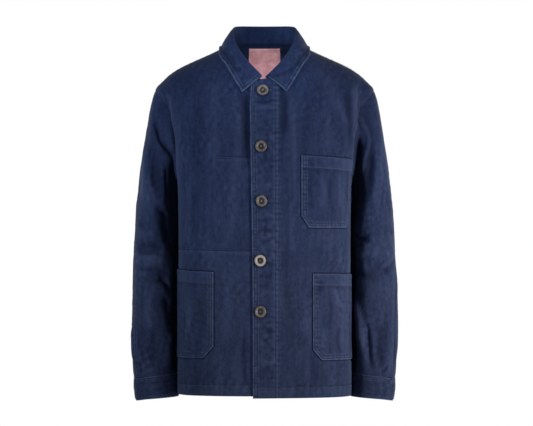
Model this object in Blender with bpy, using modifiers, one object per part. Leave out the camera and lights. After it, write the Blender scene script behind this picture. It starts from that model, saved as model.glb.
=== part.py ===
"""A cotton chore jacket, buttoned up and filled out as if worn, with nothing inside it.

Every piece of cloth is a closed wall round a grid of points. Sizes are in millimetres and become metres
when a mesh is made. The front faces -Y, +X is the wearer's left, +Z is up. The origin is the middle of the
neck, level with the collar seam at the back, where the wearer carries the jacket.
"""

import functools
import math

import bmesh
import bpy
import numpy as np
from mathutils import Matrix, Vector
from mathutils.kdtree import KDTree

MM = 0.001
LEFT, RIGHT = 1, -1  # the wearer's sides, as signs of x

# Cloth
WALL = 1.8
COLLAR_WALL = 2.4
CUFF_WALL = 2.4
POCKET_WALL = 1.4
LABEL_WALL = 1.0
SEAM_GAP = 0.3
SEWN_WITHIN = 0.05  # edges this close to each other are one seam
RIM_ORDER = (0.31, 0.67, 0.68)  # a slanted direction, in which no seam's points tie
MITRE_LEAST = 0.5  # the least cosine by which a seam's wall is lengthened

# Torso: one row for each height, with the half width, the depth of the front and of the back, how square
# each is, and how far the sleeve presses the side in.
TORSO_COLUMNS = ("height", "half_width", "front", "back", "square_front", "square_back", "press")
TORSO = (
    (12, 58, -30, 60, 1.9, 1.9, 0),
    (0, 73, -41, 67, 1.9, 1.9, 0),
    (-12, 95, -53, 76, 1.9, 1.9, 0),
    (-24, 121, -64, 84, 1.9, 1.95, 0),
    (-36, 148, -74, 91, 1.9, 2.0, 0),
    (-48, 172, -83, 97, 1.95, 2.05, 0),
    (-60, 190, -90, 102, 2.0, 2.1, 0),
    (-72, 203, -96, 106, 2.05, 2.15, 0),
    (-92, 219, -104, 112, 2.15, 2.2, 0),
    (-112, 213, -110, 117, 2.3, 2.3, 0),
    (-140, 199, -116, 122, 2.6, 2.4, 0),
    (-180, 188, -123, 127, 2.9, 2.6, 0),
    (-222, 181, -128, 130, 3.1, 2.75, 1),
    (-282, 175, -131, 130, 3.2, 2.8, 5),
    (-360, 171.5, -132, 127, 3.2, 2.8, 3),
    (-440, 170.5, -131, 124, 3.2, 2.8, 2),
    (-540, 171, -131, 126, 3.2, 2.8, 2),
    (-720, 173.5, -131, 131, 3.2, 2.8, 2),
)
RING_SAMPLES = 361
PRESS_REACH = 62
SLOPE_STEP = 2  # between the points that give the torso's direction out

# Lines on the torso
NECK_HEIGHT = -5  # where the shoulder seam meets the neck
BACK_NECK_HEIGHT = 0
FRONT_NECK_DROP = 66
SHOULDER_HEIGHT = -92
UNDERARM_HEIGHT = -282
ARMHOLE_HALF_DEPTH = 63
SIDE_HEM = {LEFT: -703.5, RIGHT: -700.5}
BACK_HEM = -702

# Stations along the seams: the pieces that meet there share them.
SIDE_STEPS = 13
ARMHOLE_STEPS = 12  # on each of the front and the back
SHOULDER_STEPS = 7
FRONT_NECK_STEPS = 7
BACK_NECK_STEPS = 4  # from the centre back to the shoulder seam
LAP_STEPS = 2
LINE_SAMPLES = 60
END_FADE = 4  # power by which a panel's ends stop shaping its rows

# Closure: the left front laps over the right one.
COLLAR_END = {LEFT: 4, RIGHT: 10}  # the collar's ends, from the centre front
LAP_COLUMNS = ("height", "past_centre")
LAP_LEFT = ((-706, 23), (-432, 24), (-132, 29), (-76, 27))
LAP_RIGHT = ((-702, 20), (-74, 20))
LAP_SHIFT = 1.35  # each front's move away from the other where they lap
LAP_SHIFT_FROM, LAP_SHIFT_FULL = 52, 32
BAND_WIDTH_IN = 25  # the facing's inner edge, from the centre front
BAND_FADE = 5
BAND_EXTRA = 0.7

# Largest folds of the torso, as soft ridges (+) and troughs (-) between two places.
FOLD_COLUMNS = ("side", "from_along", "from_height", "to_along", "to_height", "half_width", "rise")
FOLD_END_SHARE = 0.15  # how much of a fold is left at its ends
FOLD_END_SLOPE = 3  # how soon along its length it is whole
TORSO_FOLDS = (
    (LEFT, 213, -72, 205, -140, 16, -5.0),
    (LEFT, 168, -84, 172, -190, 22, 2.5),
    (RIGHT, 214, -84, 206, -150, 18, -3.5),
    (RIGHT, 150, -70, 176, -200, 24, 2.2),
    (LEFT, 120, -110, 95, -300, 26, -2.2),
    (RIGHT, 112, -100, 92, -290, 26, -2.0),
    (LEFT, 70, -380, 62, -680, 26, 2.0),
    (RIGHT, 78, -330, 84, -690, 28, -2.4),
    (LEFT, 150, -380, 160, -690, 26, -2.2),
    (RIGHT, 150, -280, 158, -660, 28, 2.2),
    (LEFT, 330, -110, 350, -330, 28, -3.0),
    (RIGHT, 332, -100, 346, -310, 28, -2.6),
    (LEFT, 400, -420, 420, -690, 34, 3.0),
    (RIGHT, 390, -440, 405, -690, 32, 2.6),
    (LEFT, 480, -300, 470, -680, 34, -2.6),
    (RIGHT, 470, -330, 478, -690, 34, 2.4),
)

# Sleeves: sections from the armhole to the cuff, by their outermost and innermost points.
SLEEVE_COLUMNS = ("outer", "outer_height", "inner", "inner_height", "middle", "half_depth")
SLEEVE = (
    (219, -92, 170, -282, 4, 63),
    (224, -104, 174, -283.5, 5, 66),
    (229, -124, 177, -290, 6, 68),
    (234, -152, 177, -300, 7, 69),
    (240, -190, 175.5, -314, 8, 69),
    (248, -240, 174.5, -334, 9, 68),
    (254, -290, 174, -360, 10, 66),
    (259, -345, 173.5, -392, 10, 64),
    (262, -400, 174, -425, 9, 62),
    (264, -450, 173.5, -458, 7, 60),
    (265.5, -500, 173.5, -500, 4, 58),
    (266, -550, 174, -546, 0, 56),
    (266, -600, 174.5, -592, -4, 54),
    (264.5, -638, 175.5, -630, -7, 52),
    (262, -669, 176, -659, -9, 47),
)
CUFF = (
    (262, -669, 176, -659, -9, 47),
    (262.5, -684, 175.2, -675, -10, 47.5),
    (261, -699, 174.6, -691, -11, 47.5),
    (258.5, -713, 174.2, -706, -12, 47),
)
SLEEVE_SQUARE = 2.2
SLEEVE_ROWS = (
    0, 0.03, 0.065, 0.105, 0.15, 0.2, 0.25, 0.3, 0.35, 0.4, 0.44, 0.475, 0.505, 0.535, 0.565, 0.595,
    0.63, 0.67, 0.71, 0.75, 0.79, 0.83, 0.87, 0.91, 0.94, 0.97, 1,
)
ARMHOLE_FADE = 0.3  # share of the sleeve over which it takes its own section
FOLDS_FROM_ARMHOLE = 12  # how soon the folds start at each end, for each whole length of the sleeve
FOLDS_FROM_CUFF = 40
SEAM_TURN_COLUMNS = ("share", "front_seam", "back_seam")
SEAM_TURN = (  # angles round the sleeve, 0 at the front and 90 at the outside
    (0, -60, 135),
    (0.3, -62, 122),
    (0.55, -70, 92),
    (0.72, -78, 66),
    (1, -84, 58),
)
TOP_SLEEVE_STEPS = 13
UNDER_SLEEVE_STEPS = 11
ROUND_SLEEVE = 52  # millimetres for each radian round a sleeve, for its folds
SLEEVE_FOLDS = (  # as the torso's, with angles round the sleeve in degrees as their along
    (LEFT, 14, -200, -40, -330, 17, -8.0),
    (LEFT, 45, -190, -12, -340, 15, 4.0),
    (LEFT, 30, -430, 66, -408, 13, 3.5),
    (LEFT, -20, -452, 40, -446, 12, -3.5),
    (LEFT, 8, -550, 12, -656, 13, -6.5),
    (LEFT, -34, -560, -22, -650, 14, 3.5),
    (LEFT, 40, -590, 30, -656, 13, 3.0),
    (RIGHT, 62, -170, -14, -310, 17, -8.0),
    (RIGHT, 80, -180, 20, -330, 16, 4.0),
    (RIGHT, -10, -330, -44, -400, 16, -6.5),
    (RIGHT, -20, -405, 60, -412, 12, -4.0),
    (RIGHT, -40, -432, 60, -440, 12, 3.5),
    (RIGHT, -46, -460, 30, -468, 14, -4.5),
    (RIGHT, 70, -560, 50, -640, 14, 3.5),
    (RIGHT, 0, -560, 10, -650, 14, -4.0),
    (LEFT, 150, -380, 200, -420, 14, -4.0),
    (RIGHT, 160, -390, 205, -425, 14, -4.0),
    (LEFT, 190, -470, 150, -520, 15, -3.5),
    (RIGHT, 190, -480, 150, -530, 15, -3.5),
    (LEFT, 170, -590, 176, -655, 13, -4.0),
    (RIGHT, 172, -585, 170, -655, 13, -4.5),
)
CUFF_LAP = 5  # degrees that the cuff's end runs past its start
CUFF_LAP_STEP = 2.8
CUFF_LAP_RAMP = 40
CUFF_LAP_DROP = 1.2

# Collar: its roll and its edge from the centre back (share 0) to the centre front (share 1).
COLLAR_COLUMNS = ("share", "along_x", "along_y", "along_z")
COLLAR_ROLL = (
    (0, 0, 72, 40),
    (0.2, 40, 62, 40),
    (0.33, 58, 36, 38),
    (0.43, 64, 8, 31),
    (0.55, 61, -26, 12),
    (0.7, 49, -58, -14),
    (0.85, 30, -83, -39),
    (1, 5, -99, -65),
)
COLLAR_EDGE = (
    (0, 0, 97, -19),
    (0.2, 52, 84, -18),
    (0.33, 80, 48, -12),
    (0.43, 89, 8, -8),
    (0.55, 89.5, -36, -24),
    (0.7, 75, -72, -48),
    (0.85, 60, -94, -73),
    (1, 44, -108, -98),
)
COLLAR_ROLL_RADIUS = 3.2
COLLAR_LIFT = 6  # the least distance from the torso to the middle of the fall
COLLAR_FALL_STEPS = 4
COLLAR_FALL_CROWN = 2.5
CLOUD_HEIGHTS = (-125, 3)
CLOUD_STEP = 4
PUSHES = 3

# Pockets: distances round the front from the centre front, and heights.
POCKET_LIFT = 0.65
POCKET_STEP = 13
POCKET_COLUMNS = (
    "name", "side", "near", "far", "top_near", "top_far", "bottom", "cut_across", "cut_up",
)
POCKETS = (
    ("pocket_chest", LEFT, 73, 198, -223, -231, -367, 15, 23),
    ("pocket_lower_left", LEFT, 96, 258, -458, -461, -630, 18, 20),
    ("pocket_lower_right", RIGHT, 102, 258, -455, -448, -626, 21, 23),
)

# Buttons: places on the left front, across and in height.
BUTTONS = ((-3.6, -94.6), (-6.6, -206), (-6, -314), (-8.4, -432.4), (-8, -533.6))
BUTTON_PROFILE = (  # radius and height above the cloth, from the back's middle to the front's middle
    (0, 0), (9.6, 0), (11.2, 1.4), (11.2, 2.6), (9.6, 3.5), (6.4, 2.2), (0, 2.0),
)
BUTTON_STEPS = 16
BUTTON_HOLES = 4
BUTTON_HOLE_RADIUS = 1.0
BUTTON_HOLE_SPREAD = 2.1
BUTTON_HOLE_SIDES = 5
BUTTON_HOLE_DEPTH = 14
BUTTON_GAP = 0.3
MERGE_WITHIN = 0.01

# Label, inside the back
LABEL_HALF_WIDTH = 32.5
LABEL_TOP, LABEL_BOTTOM = -3, -67
LABEL_STEPS = 6
LABEL_LIFT = 1.5

SHARP_ANGLE = 40  # degrees, from which an edge is shaded sharp
ROUNDING = 1e-9

COLOURS = {  # base colour and roughness
    "navy_cotton": ((0.024, 0.034, 0.078), 0.9),
    "pink_label": ((0.46, 0.22, 0.24), 0.85),
    "brown_button": ((0.20, 0.15, 0.11), 0.45),
}


# Curves and tables


def smooth(known, values, wanted):
    """A smooth curve through the points that never overshoots them."""
    known, values = np.asarray(known, float), np.asarray(values, float)
    rise = np.diff(values) / np.diff(known)
    slope = np.empty_like(values)
    slope[0], slope[-1] = rise[0], rise[-1]
    same_way = rise[:-1] * rise[1:] > 0
    total = np.where(same_way, rise[:-1] + rise[1:], 1)
    slope[1:-1] = np.where(same_way, 2 * rise[:-1] * rise[1:] / total, 0)
    wanted = np.clip(wanted, known[0], known[-1])
    at = np.clip(np.searchsorted(known, wanted) - 1, 0, len(known) - 2)
    width = known[at + 1] - known[at]
    share = (wanted - known[at]) / width
    kept = 2 * share**3 - 3 * share**2 + 1
    into = share**3 - 2 * share**2 + share
    out = share**3 - share**2
    return (
        kept * values[at] + (1 - kept) * values[at + 1] + width * (into * slope[at] + out * slope[at + 1])
    )


def column(table, names, name):
    """One column of a table."""
    return np.array([row[names.index(name)] for row in table], float)


def ease(share):
    """0 to 1 with a soft start and a soft end."""
    share = np.clip(share, 0, 1)
    return share * share * (3 - 2 * share)


def unit(vector):
    """The vector, or each one of an array, at length 1."""
    return vector / np.linalg.norm(vector, axis=-1, keepdims=True)


def even_steps(line, count):
    """Positions, as whole and part indices of a line's points, that cut it in count equal lengths."""
    lengths = np.concatenate(([0], np.cumsum(np.linalg.norm(np.diff(line, axis=0), axis=1))))
    return np.interp(np.linspace(0, lengths[-1], count + 1), lengths, np.arange(len(line)))


def named_rows(names, table):
    """A table's rows, with their values by name."""
    return [dict(zip(names, row)) for row in table]


def fold_rise(folds, side, along, height):
    """The height of the folds at a place: each fades to its ends and across its width."""
    rise = 0.0
    for fold in folds:
        if fold["side"] != side:
            continue
        start = np.array([fold["from_along"], fold["from_height"]])
        run = np.array([fold["to_along"], fold["to_height"]]) - start
        away = np.array([along, height]) - start
        share = float(np.clip(away @ run / (run @ run), 0, 1))
        distance = np.hypot(*(away - share * run))
        ends = ease(min(share, 1 - share) * FOLD_END_SLOPE + FOLD_END_SHARE)
        rise += fold["rise"] * ends * math.exp(-((distance / fold["half_width"]) ** 2))
    return rise


# Torso


TORSO_HEIGHTS = column(TORSO, TORSO_COLUMNS, "height")[::-1]
TORSO_VALUES = {name: column(TORSO, TORSO_COLUMNS, name)[::-1] for name in TORSO_COLUMNS[1:]}
TORSO_FOLD_ROWS = named_rows(FOLD_COLUMNS, TORSO_FOLDS)


@functools.lru_cache(maxsize=None)
def torso_size(name, height):
    """A size of the torso at a height."""
    return float(smooth(TORSO_HEIGHTS, TORSO_VALUES[name], height))


def torso_middle(height):
    """The depth of the side and shoulder seams at a height."""
    return (torso_size("front", height) + torso_size("back", height)) / 2


@functools.lru_cache(maxsize=None)
def torso_ring(height):
    """Half of the section, centre front to centre back: x, y and the distance along it."""
    angle = np.linspace(0, math.pi, RING_SAMPLES)
    middle = torso_middle(height)
    half_depth = (torso_size("back", height) - torso_size("front", height)) / 2
    in_front = angle <= math.pi / 2
    square = np.where(in_front, torso_size("square_front", height), torso_size("square_back", height))
    x = torso_size("half_width", height) * np.abs(np.sin(angle)) ** (2 / square)
    y = middle - half_depth * np.sign(np.cos(angle)) * np.abs(np.cos(angle)) ** (2 / square)
    x = x - torso_size("press", height) * np.exp(-(((y - middle) / PRESS_REACH) ** 2))
    x[0] = x[-1] = 0
    along = np.concatenate(([0], np.cumsum(np.hypot(np.diff(x), np.diff(y)))))
    return x, y, along


def side_distance(height):
    """The distance from the centre front round to the side or shoulder seam."""
    x, y, along = torso_ring(height)
    return float(along[RING_SAMPLES // 2])


def girth_half(height):
    """The distance from the centre front round to the centre back."""
    return float(torso_ring(height)[2][-1])


def torso_base(side, distance, height):
    """The point of the bare torso at a distance round from the centre front."""
    x, y, along = torso_ring(height)
    reach = abs(distance)
    sign = side if distance >= 0 else -side
    return np.array([sign * np.interp(reach, along, x), np.interp(reach, along, y), height])


def torso_out(side, distance, height):
    """The direction that faces out of the torso at a place."""
    step = SLOPE_STEP
    round_it = torso_base(side, distance + step, height) - torso_base(side, distance - step, height)
    up_it = torso_base(side, distance, height + step) - torso_base(side, distance, height - step)
    return unit(np.cross(round_it, up_it)) * side


def lap_shift(side, distance):
    """How far out a front moves where the fronts lap: the left one out, the right one in."""
    share = (LAP_SHIFT_FROM - distance) / (LAP_SHIFT_FROM - LAP_SHIFT_FULL)
    return side * LAP_SHIFT * float(ease(share))


def torso_point(side, distance, height, lift=0.0):
    """The middle of the torso's cloth at a place, with its folds and laps, moved out by lift."""
    rise = fold_rise(TORSO_FOLD_ROWS, side, distance, height)
    rise += lap_shift(side, distance)
    out = torso_out(side, distance, height)
    return torso_base(side, distance, height) + out * (rise + lift)


def front_distance(height, across):
    """The distance round the front to the point that is so far across."""
    x, y, along = torso_ring(height)
    half = RING_SAMPLES // 2 + 1
    return float(np.interp(across, x[:half], along[:half]))


# Lines of the pattern, as pairs of distance from a panel's centre and height


def armhole_place(angle, behind):
    """A place on the armhole: distance round from the centre front, and height."""
    middle_height = (SHOULDER_HEIGHT + UNDERARM_HEIGHT) / 2
    half_height = (SHOULDER_HEIGHT - UNDERARM_HEIGHT) / 2
    height = middle_height + half_height * math.sin(angle)
    depth = ARMHOLE_HALF_DEPTH * math.cos(angle) * (1 if behind else -1)
    x, y, along = torso_ring(height)
    return float(np.interp(torso_middle(height) + depth, y, along)), height


def outer_line(side, behind):
    """Side seam and armhole, from the hem to the shoulder."""
    line = []
    for step in range(SIDE_STEPS):
        height = SIDE_HEM[side] + (UNDERARM_HEIGHT - SIDE_HEM[side]) * step / SIDE_STEPS
        line.append((side_distance(height), height))
    for step in range(ARMHOLE_STEPS + 1):
        line.append(armhole_place(math.radians(-90 + 180 * step / ARMHOLE_STEPS), behind))
    return np.array(line)


def shoulder_line():
    """Shoulder seam, from the neck outwards."""
    heights = np.linspace(NECK_HEIGHT, SHOULDER_HEIGHT, LINE_SAMPLES)
    seam = np.array([torso_base(LEFT, side_distance(height), height) for height in heights])
    heights = np.interp(even_steps(seam, SHOULDER_STEPS), np.arange(len(seam)), heights)
    return np.array([(side_distance(height), height) for height in heights])


def front_neck_line(side):
    """Front neckline, from the collar's end to the shoulder seam."""
    half_width = torso_size("half_width", NECK_HEIGHT)
    start = math.asin(COLLAR_END[side] / half_width)
    line = []
    for angle in np.linspace(start, math.pi / 2, LINE_SAMPLES):
        height = NECK_HEIGHT - FRONT_NECK_DROP * math.cos(angle)
        line.append((front_distance(height, half_width * math.sin(angle)), height))
    line[-1] = (side_distance(NECK_HEIGHT), NECK_HEIGHT)
    at = even_steps(np.array([torso_base(side, *place) for place in line]), FRONT_NECK_STEPS)
    line = np.array(line)
    return np.stack([np.interp(at, np.arange(len(line)), values) for values in line.T], axis=1)


def back_neck_line():
    """Back neckline, from the centre back to the shoulder seam, as distances from the centre front."""
    line = []
    for share in np.linspace(0, 1, BACK_NECK_STEPS + 1):
        height = BACK_NECK_HEIGHT + (NECK_HEIGHT - BACK_NECK_HEIGHT) * (1 - math.cos(share * math.pi / 2))
        back = girth_half(height)
        line.append((back + (side_distance(height) - back) * share, height))
    return np.array(line)


def patch(bottom, top, inner, outer):
    """A grid of places between two sides, whose last rows take the shape of the two ends."""
    up = np.linspace(0, 1, len(inner))[:, None, None]
    across = np.linspace(0, 1, len(bottom))[None, :, None]
    grid = (1 - across) * inner[:, None] + across * outer[:, None]
    bottom_bend, top_bend = bottom - grid[0], top - grid[-1]
    return grid + (1 - up) ** END_FADE * bottom_bend + up**END_FADE * top_bend


def rise_with(outer, low, high):
    """Heights of an inner line's rows: halfway between even ones and those of the outer line."""
    even = np.linspace(0, 1, len(outer))
    like_outer = (outer[:, 1] - outer[0, 1]) / (outer[-1, 1] - outer[0, 1])
    return low + (high - low) * (even + like_outer) / 2


# Pieces of cloth


class Cloth:
    """A piece of cloth: a grid of points in its middle, its wall, and what it adds on its outer face."""

    def __init__(self, name, points, wall, faces_out, extra=0.0):
        self.name = name
        self.points = np.asarray(points, float)
        self.wall = wall
        self.extra = extra
        down = np.gradient(self.points, axis=0)
        across = np.gradient(self.points, axis=1)
        self.out = unit(np.cross(down, across)) * faces_out
        self.reach = self.out.copy()
        self.sewn = np.zeros(self.points.shape[:2], bool)

    def edge_places(self):
        """Indices of the grid's edge points."""
        rows, columns = self.points.shape[:2]
        return [
            (row, across)
            for row in range(rows)
            for across in range(columns)
            if row in (0, rows - 1) or across in (0, columns - 1)
        ]

    def skin(self, offset):
        """The grid moved out by offset, its sewn edges drawn back by half the seam's gap."""
        points = self.points + self.reach * np.broadcast_to(offset, self.points.shape[:2])[..., None]
        moved = points.copy()
        last_row, last_column = points.shape[0] - 1, points.shape[1] - 1
        for row, across in self.edge_places():
            if not self.sewn[row, across]:
                continue
            inward = []
            if row in (0, last_row):
                inward.append((1 if row == 0 else last_row - 1, across))
            if across in (0, last_column):
                inward.append((row, 1 if across == 0 else last_column - 1))
            for near in inward:
                moved[row, across] += unit(points[near] - points[row, across]) * SEAM_GAP / 2
        return moved

    def build(self, material, parts):
        """Makes the closed wall."""
        outer = self.skin(self.wall / 2 + self.extra)
        inner = self.skin(-self.wall / 2)
        closed_wall(self.name, outer, inner, material, parts)


def sew(pieces):
    """Gives edges that meet one common direction for their walls, so that they meet in a mitre."""
    places = [(piece, place) for piece in pieces for place in piece.edge_places()]
    tree = KDTree(len(places))
    for number, (piece, place) in enumerate(places):
        tree.insert(piece.points[place], number)
    tree.balance()
    for piece, place in places:
        near = [places[number] for _, number, _ in tree.find_range(piece.points[place], SEWN_WITHIN)]
        if all(other is piece for other, _ in near):
            continue
        directions = np.array([other.out[spot] for other, spot in near])
        first, second = np.unravel_index(np.argmin(directions @ directions.T), (len(near), len(near)))
        shared = unit(directions[first] + directions[second])
        cosine = max(float(directions[first] @ shared), MITRE_LEAST)
        piece.reach[place] = shared / cosine
        piece.sewn[place] = True


def closed_wall(name, outer, inner, material, parts):
    """A closed solid between two grids of points, with a rim round the edge."""
    rows, columns = outer.shape[:2]
    mesh = bmesh.new()
    skins = []
    for grid in (outer, inner):
        skins.append([[mesh.verts.new(Vector(point) * MM) for point in row] for row in grid])
    for skin in skins:
        for row in range(rows - 1):
            for across in range(columns - 1):
                corners = ((row, across), (row + 1, across), (row + 1, across + 1), (row, across + 1))
                mesh.faces.new([skin[r][c] for r, c in corners])
    rim = [(0, c) for c in range(columns)] + [(r, columns - 1) for r in range(1, rows)]
    rim += [(rows - 1, c) for c in range(columns - 2, -1, -1)] + [(r, 0) for r in range(rows - 2, 0, -1)]
    for pair in zip(rim, rim[1:] + rim[:1]):
        # Two pieces that meet here cut their twisted rims along the same diagonal.
        first, last = sorted(pair, key=lambda place: float(outer[place] @ RIM_ORDER))
        low_out, high_out = skins[0][first[0]][first[1]], skins[0][last[0]][last[1]]
        low_in, high_in = skins[1][first[0]][first[1]], skins[1][last[0]][last[1]]
        mesh.faces.new((low_out, high_out, high_in))
        mesh.faces.new((low_out, high_in, low_in))
    bmesh.ops.recalc_face_normals(mesh, faces=mesh.faces)
    add_mesh(name, mesh, material, parts)


def add_mesh(name, mesh, material, parts):
    """Puts a bmesh into the collection as an object that is shaded smooth but for its sharp edges."""
    data = bpy.data.meshes.new(name)
    mesh.to_mesh(data)
    mesh.free()
    data.materials.append(material)
    data.shade_smooth()
    data.set_sharp_from_angle(angle=math.radians(SHARP_ANGLE))
    thing = bpy.data.objects.new(name, data)
    parts.objects.link(thing)


def band_extra(places):
    """Thickness that the turned-back facing adds along the left front's edge."""
    return BAND_EXTRA * ease((BAND_WIDTH_IN + BAND_FADE - places[..., 0]) / BAND_FADE)


def front_places(side):
    """Grid of places of a front: rows from the hem up, columns from its free edge to the side."""
    outer = outer_line(side, False)
    neck = front_neck_line(side)
    lap = LAP_LEFT if side == LEFT else LAP_RIGHT
    known, past_centre = column(lap, LAP_COLUMNS, "height"), column(lap, LAP_COLUMNS, "past_centre")
    heights = rise_with(outer, known[0], known[-1])
    inner = np.stack([-np.interp(heights, known, past_centre), heights], axis=1)
    lapped = np.linspace(inner[-1], neck[0], LAP_STEPS + 1)[:-1]
    top = np.concatenate([lapped, neck, shoulder_line()[1:]])
    shares = (top[:, 0] - top[0, 0]) / (top[-1, 0] - top[0, 0])
    shares = (shares + np.linspace(0, 1, len(top))) / 2
    bottom = inner[0] + shares[:, None] * (outer[0] - inner[0])
    return patch(bottom, top, inner, outer)


def make_front(side):
    """A front, from its lapped edge to the side seam, armhole, shoulder and neck."""
    places = front_places(side)
    points = [[torso_point(side, along, height) for along, height in row] for row in places]
    name = "front_left" if side == LEFT else "front_right"
    extra = band_extra(places) if side == LEFT else 0.0
    return Cloth(name, points, WALL, -side, extra)


def half_back(side):
    """Points of half of the back: rows from the hem up, columns from the centre to the side."""
    outer = outer_line(side, True)
    top = np.concatenate([back_neck_line(), shoulder_line()[1:]])
    heights = rise_with(outer, BACK_HEM, BACK_NECK_HEIGHT)
    inner = np.array([(girth_half(height), height) for height in heights])
    shares = np.linspace(0, 1, len(top))
    bottom = inner[0] + shares[:, None] * (outer[0] - inner[0])
    # Distances are taken from the centre back meanwhile, which is a straight line of the pattern.
    grids = []
    for line in (bottom, top, inner, outer):
        from_back = line.copy()
        from_back[:, 0] = [girth_half(height) for height in line[:, 1]] - line[:, 0]
        grids.append(from_back)
    places = patch(*grids)
    return [[torso_point(side, girth_half(h) - from_back, h) for from_back, h in row] for row in places]


def make_back():
    """The back in one piece."""
    left, right = np.array(half_back(LEFT)), np.array(half_back(RIGHT))
    middle = (left[:, :1] + right[:, :1]) / 2
    middle[..., 0] = 0
    return Cloth("back", np.concatenate([right[:, :0:-1], middle, left[:, 1:]], axis=1), WALL, 1)


# Sleeves and cuffs


def folds_round_sleeve():
    """The sleeves' folds, with their angles turned into distances round the sleeve."""
    folds = named_rows(FOLD_COLUMNS, SLEEVE_FOLDS)
    for fold in folds:
        for end in ("from_along", "to_along"):
            fold[end] = math.radians(fold[end]) * ROUND_SLEEVE
    return folds


SLEEVE_FOLD_ROWS = folds_round_sleeve()


@functools.lru_cache(maxsize=None)
def section_sizes(table, share):
    """The sizes of a table's section at a share of its length."""
    known = np.linspace(0, 1, len(table))
    return {name: float(smooth(known, column(table, SLEEVE_COLUMNS, name), share)) for name in SLEEVE_COLUMNS}


def section_point(table, side, share, angle):
    """A point on the tube that a table of sections gives."""
    sizes = section_sizes(table, share)
    outer = np.array([sizes["outer"], 0, sizes["outer_height"]])
    inner = np.array([sizes["inner"], 0, sizes["inner_height"]])
    centre = (outer + inner) / 2 + np.array([0, sizes["middle"], 0])
    power = 2 / SLEEVE_SQUARE
    forward = math.copysign(abs(math.cos(angle)) ** power, math.cos(angle)) * sizes["half_depth"]
    outward = math.copysign(abs(math.sin(angle)) ** power, math.sin(angle))
    point = centre - np.array([0, forward, 0]) + (outer - inner) / 2 * outward
    return point * np.array([side, 1, 1])


def section_centre(table, side, share):
    """The middle of the tube's section."""
    return (section_point(table, side, share, 0) + section_point(table, side, share, math.pi)) / 2


def armhole_point(side, angle):
    """The point of the armhole at an angle round it, 0 at the front and 90 at the shoulder."""
    behind = math.cos(angle) < -ROUNDING
    distance, height = armhole_place(math.asin(max(-1.0, min(1.0, math.sin(angle)))), behind)
    return torso_point(side, distance, height)


def sleeve_point(side, share, angle):
    """The middle of a sleeve's cloth: it leaves the armhole and takes its own sections, with folds."""
    point = section_point(SLEEVE, side, share, angle)
    fade = 1 - float(ease(share / ARMHOLE_FADE))
    if fade > 0:
        point = point + fade * (armhole_point(side, angle) - section_point(SLEEVE, side, 0, angle))
    turned = math.remainder(angle, math.tau)
    rise = sum(
        fold_rise(SLEEVE_FOLD_ROWS, side, (turned + whole_turn) * ROUND_SLEEVE, point[2])
        for whole_turn in (0, math.tau)
    )
    ends = float(ease(share * FOLDS_FROM_ARMHOLE) * ease((1 - share) * FOLDS_FROM_CUFF))
    return point + unit(point - section_centre(SLEEVE, side, share)) * rise * ends


def seam_angles(share):
    """Angles of the sleeve's front and back seams."""
    shares = column(SEAM_TURN, SEAM_TURN_COLUMNS, "share")
    return [
        math.radians(float(smooth(shares, column(SEAM_TURN, SEAM_TURN_COLUMNS, name), share)))
        for name in ("front_seam", "back_seam")
    ]


def sleeve_grid(side, steps, under):
    """Points of a sleeve's top or under part: rows from the armhole down, columns round it."""
    grid = []
    for share in SLEEVE_ROWS:
        start, end = seam_angles(share)
        if under:
            start, end = end, start + math.tau
        grid.append([sleeve_point(side, share, angle) for angle in np.linspace(start, end, steps + 1)])
    return grid


def make_sleeve(side):
    """The top and under parts of a sleeve."""
    word = "left" if side == LEFT else "right"
    top = Cloth(f"sleeve_{word}_top", sleeve_grid(side, TOP_SLEEVE_STEPS, False), WALL, side)
    under = Cloth(f"sleeve_{word}_under", sleeve_grid(side, UNDER_SLEEVE_STEPS, True), WALL, side)
    return [top, under]


def make_cuff(side):
    """A cuff band: it starts at the back seam, goes round the back and laps over its own start."""
    front_seam, back_seam = seam_angles(1)
    angles = list(np.linspace(back_seam, front_seam + math.tau, UNDER_SLEEVE_STEPS + 1))
    angles += list(np.linspace(front_seam, back_seam, TOP_SLEEVE_STEPS + 1)[1:] + math.tau)
    angles.append(angles[-1] + math.radians(CUFF_LAP))
    grid = []
    for share in np.linspace(0, 1, len(CUFF)):
        row = []
        for angle in angles:
            point = section_point(CUFF, side, share, angle)
            away = unit(point - section_centre(CUFF, side, share))
            ramp = (angle - back_seam - math.tau) / math.radians(CUFF_LAP_RAMP) + 1
            step = away * CUFF_LAP_STEP - np.array([0, 0, CUFF_LAP_DROP])
            row.append(point + step * float(ease(ramp)))
        grid.append(row)
    return Cloth("cuff_left" if side == LEFT else "cuff_right", grid, CUFF_WALL, side)


# Collar


@functools.lru_cache(maxsize=None)
def torso_cloud():
    """The upper torso as a search tree of points, with the direction out at each."""
    points, outs = [], []
    for height in np.arange(CLOUD_HEIGHTS[0], CLOUD_HEIGHTS[1], CLOUD_STEP):
        height = float(height)
        for distance in np.arange(0, girth_half(height), CLOUD_STEP):
            for side in (LEFT, RIGHT):
                points.append(torso_point(side, float(distance), height))
                outs.append(torso_out(side, float(distance), height))
    tree = KDTree(len(points))
    for number, point in enumerate(points):
        tree.insert(point, number)
    tree.balance()
    return tree, points, outs


def push_off_torso(point, lift):
    """The point, moved out of the torso until it is clear of it by lift."""
    tree, points, outs = torso_cloud()
    for _ in range(PUSHES):
        number = tree.find(point)[1]
        missing = lift - float((point - points[number]) @ outs[number])
        point = point + outs[number] * max(0.0, missing)
    return point


def neck_points():
    """The neckline's points from the right end of the collar round the back to the left end."""
    halves = []
    for side in (RIGHT, LEFT):
        front = [torso_point(side, along, height) for along, height in front_neck_line(side)]
        back = [torso_point(side, along, height) for along, height in back_neck_line()[::-1]]
        halves.append(front + back[1:])
    middle = (halves[0][-1] + halves[1][-1]) / 2
    middle[0] = 0
    return halves[0][:-1] + [middle] + halves[1][-2::-1]


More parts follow.
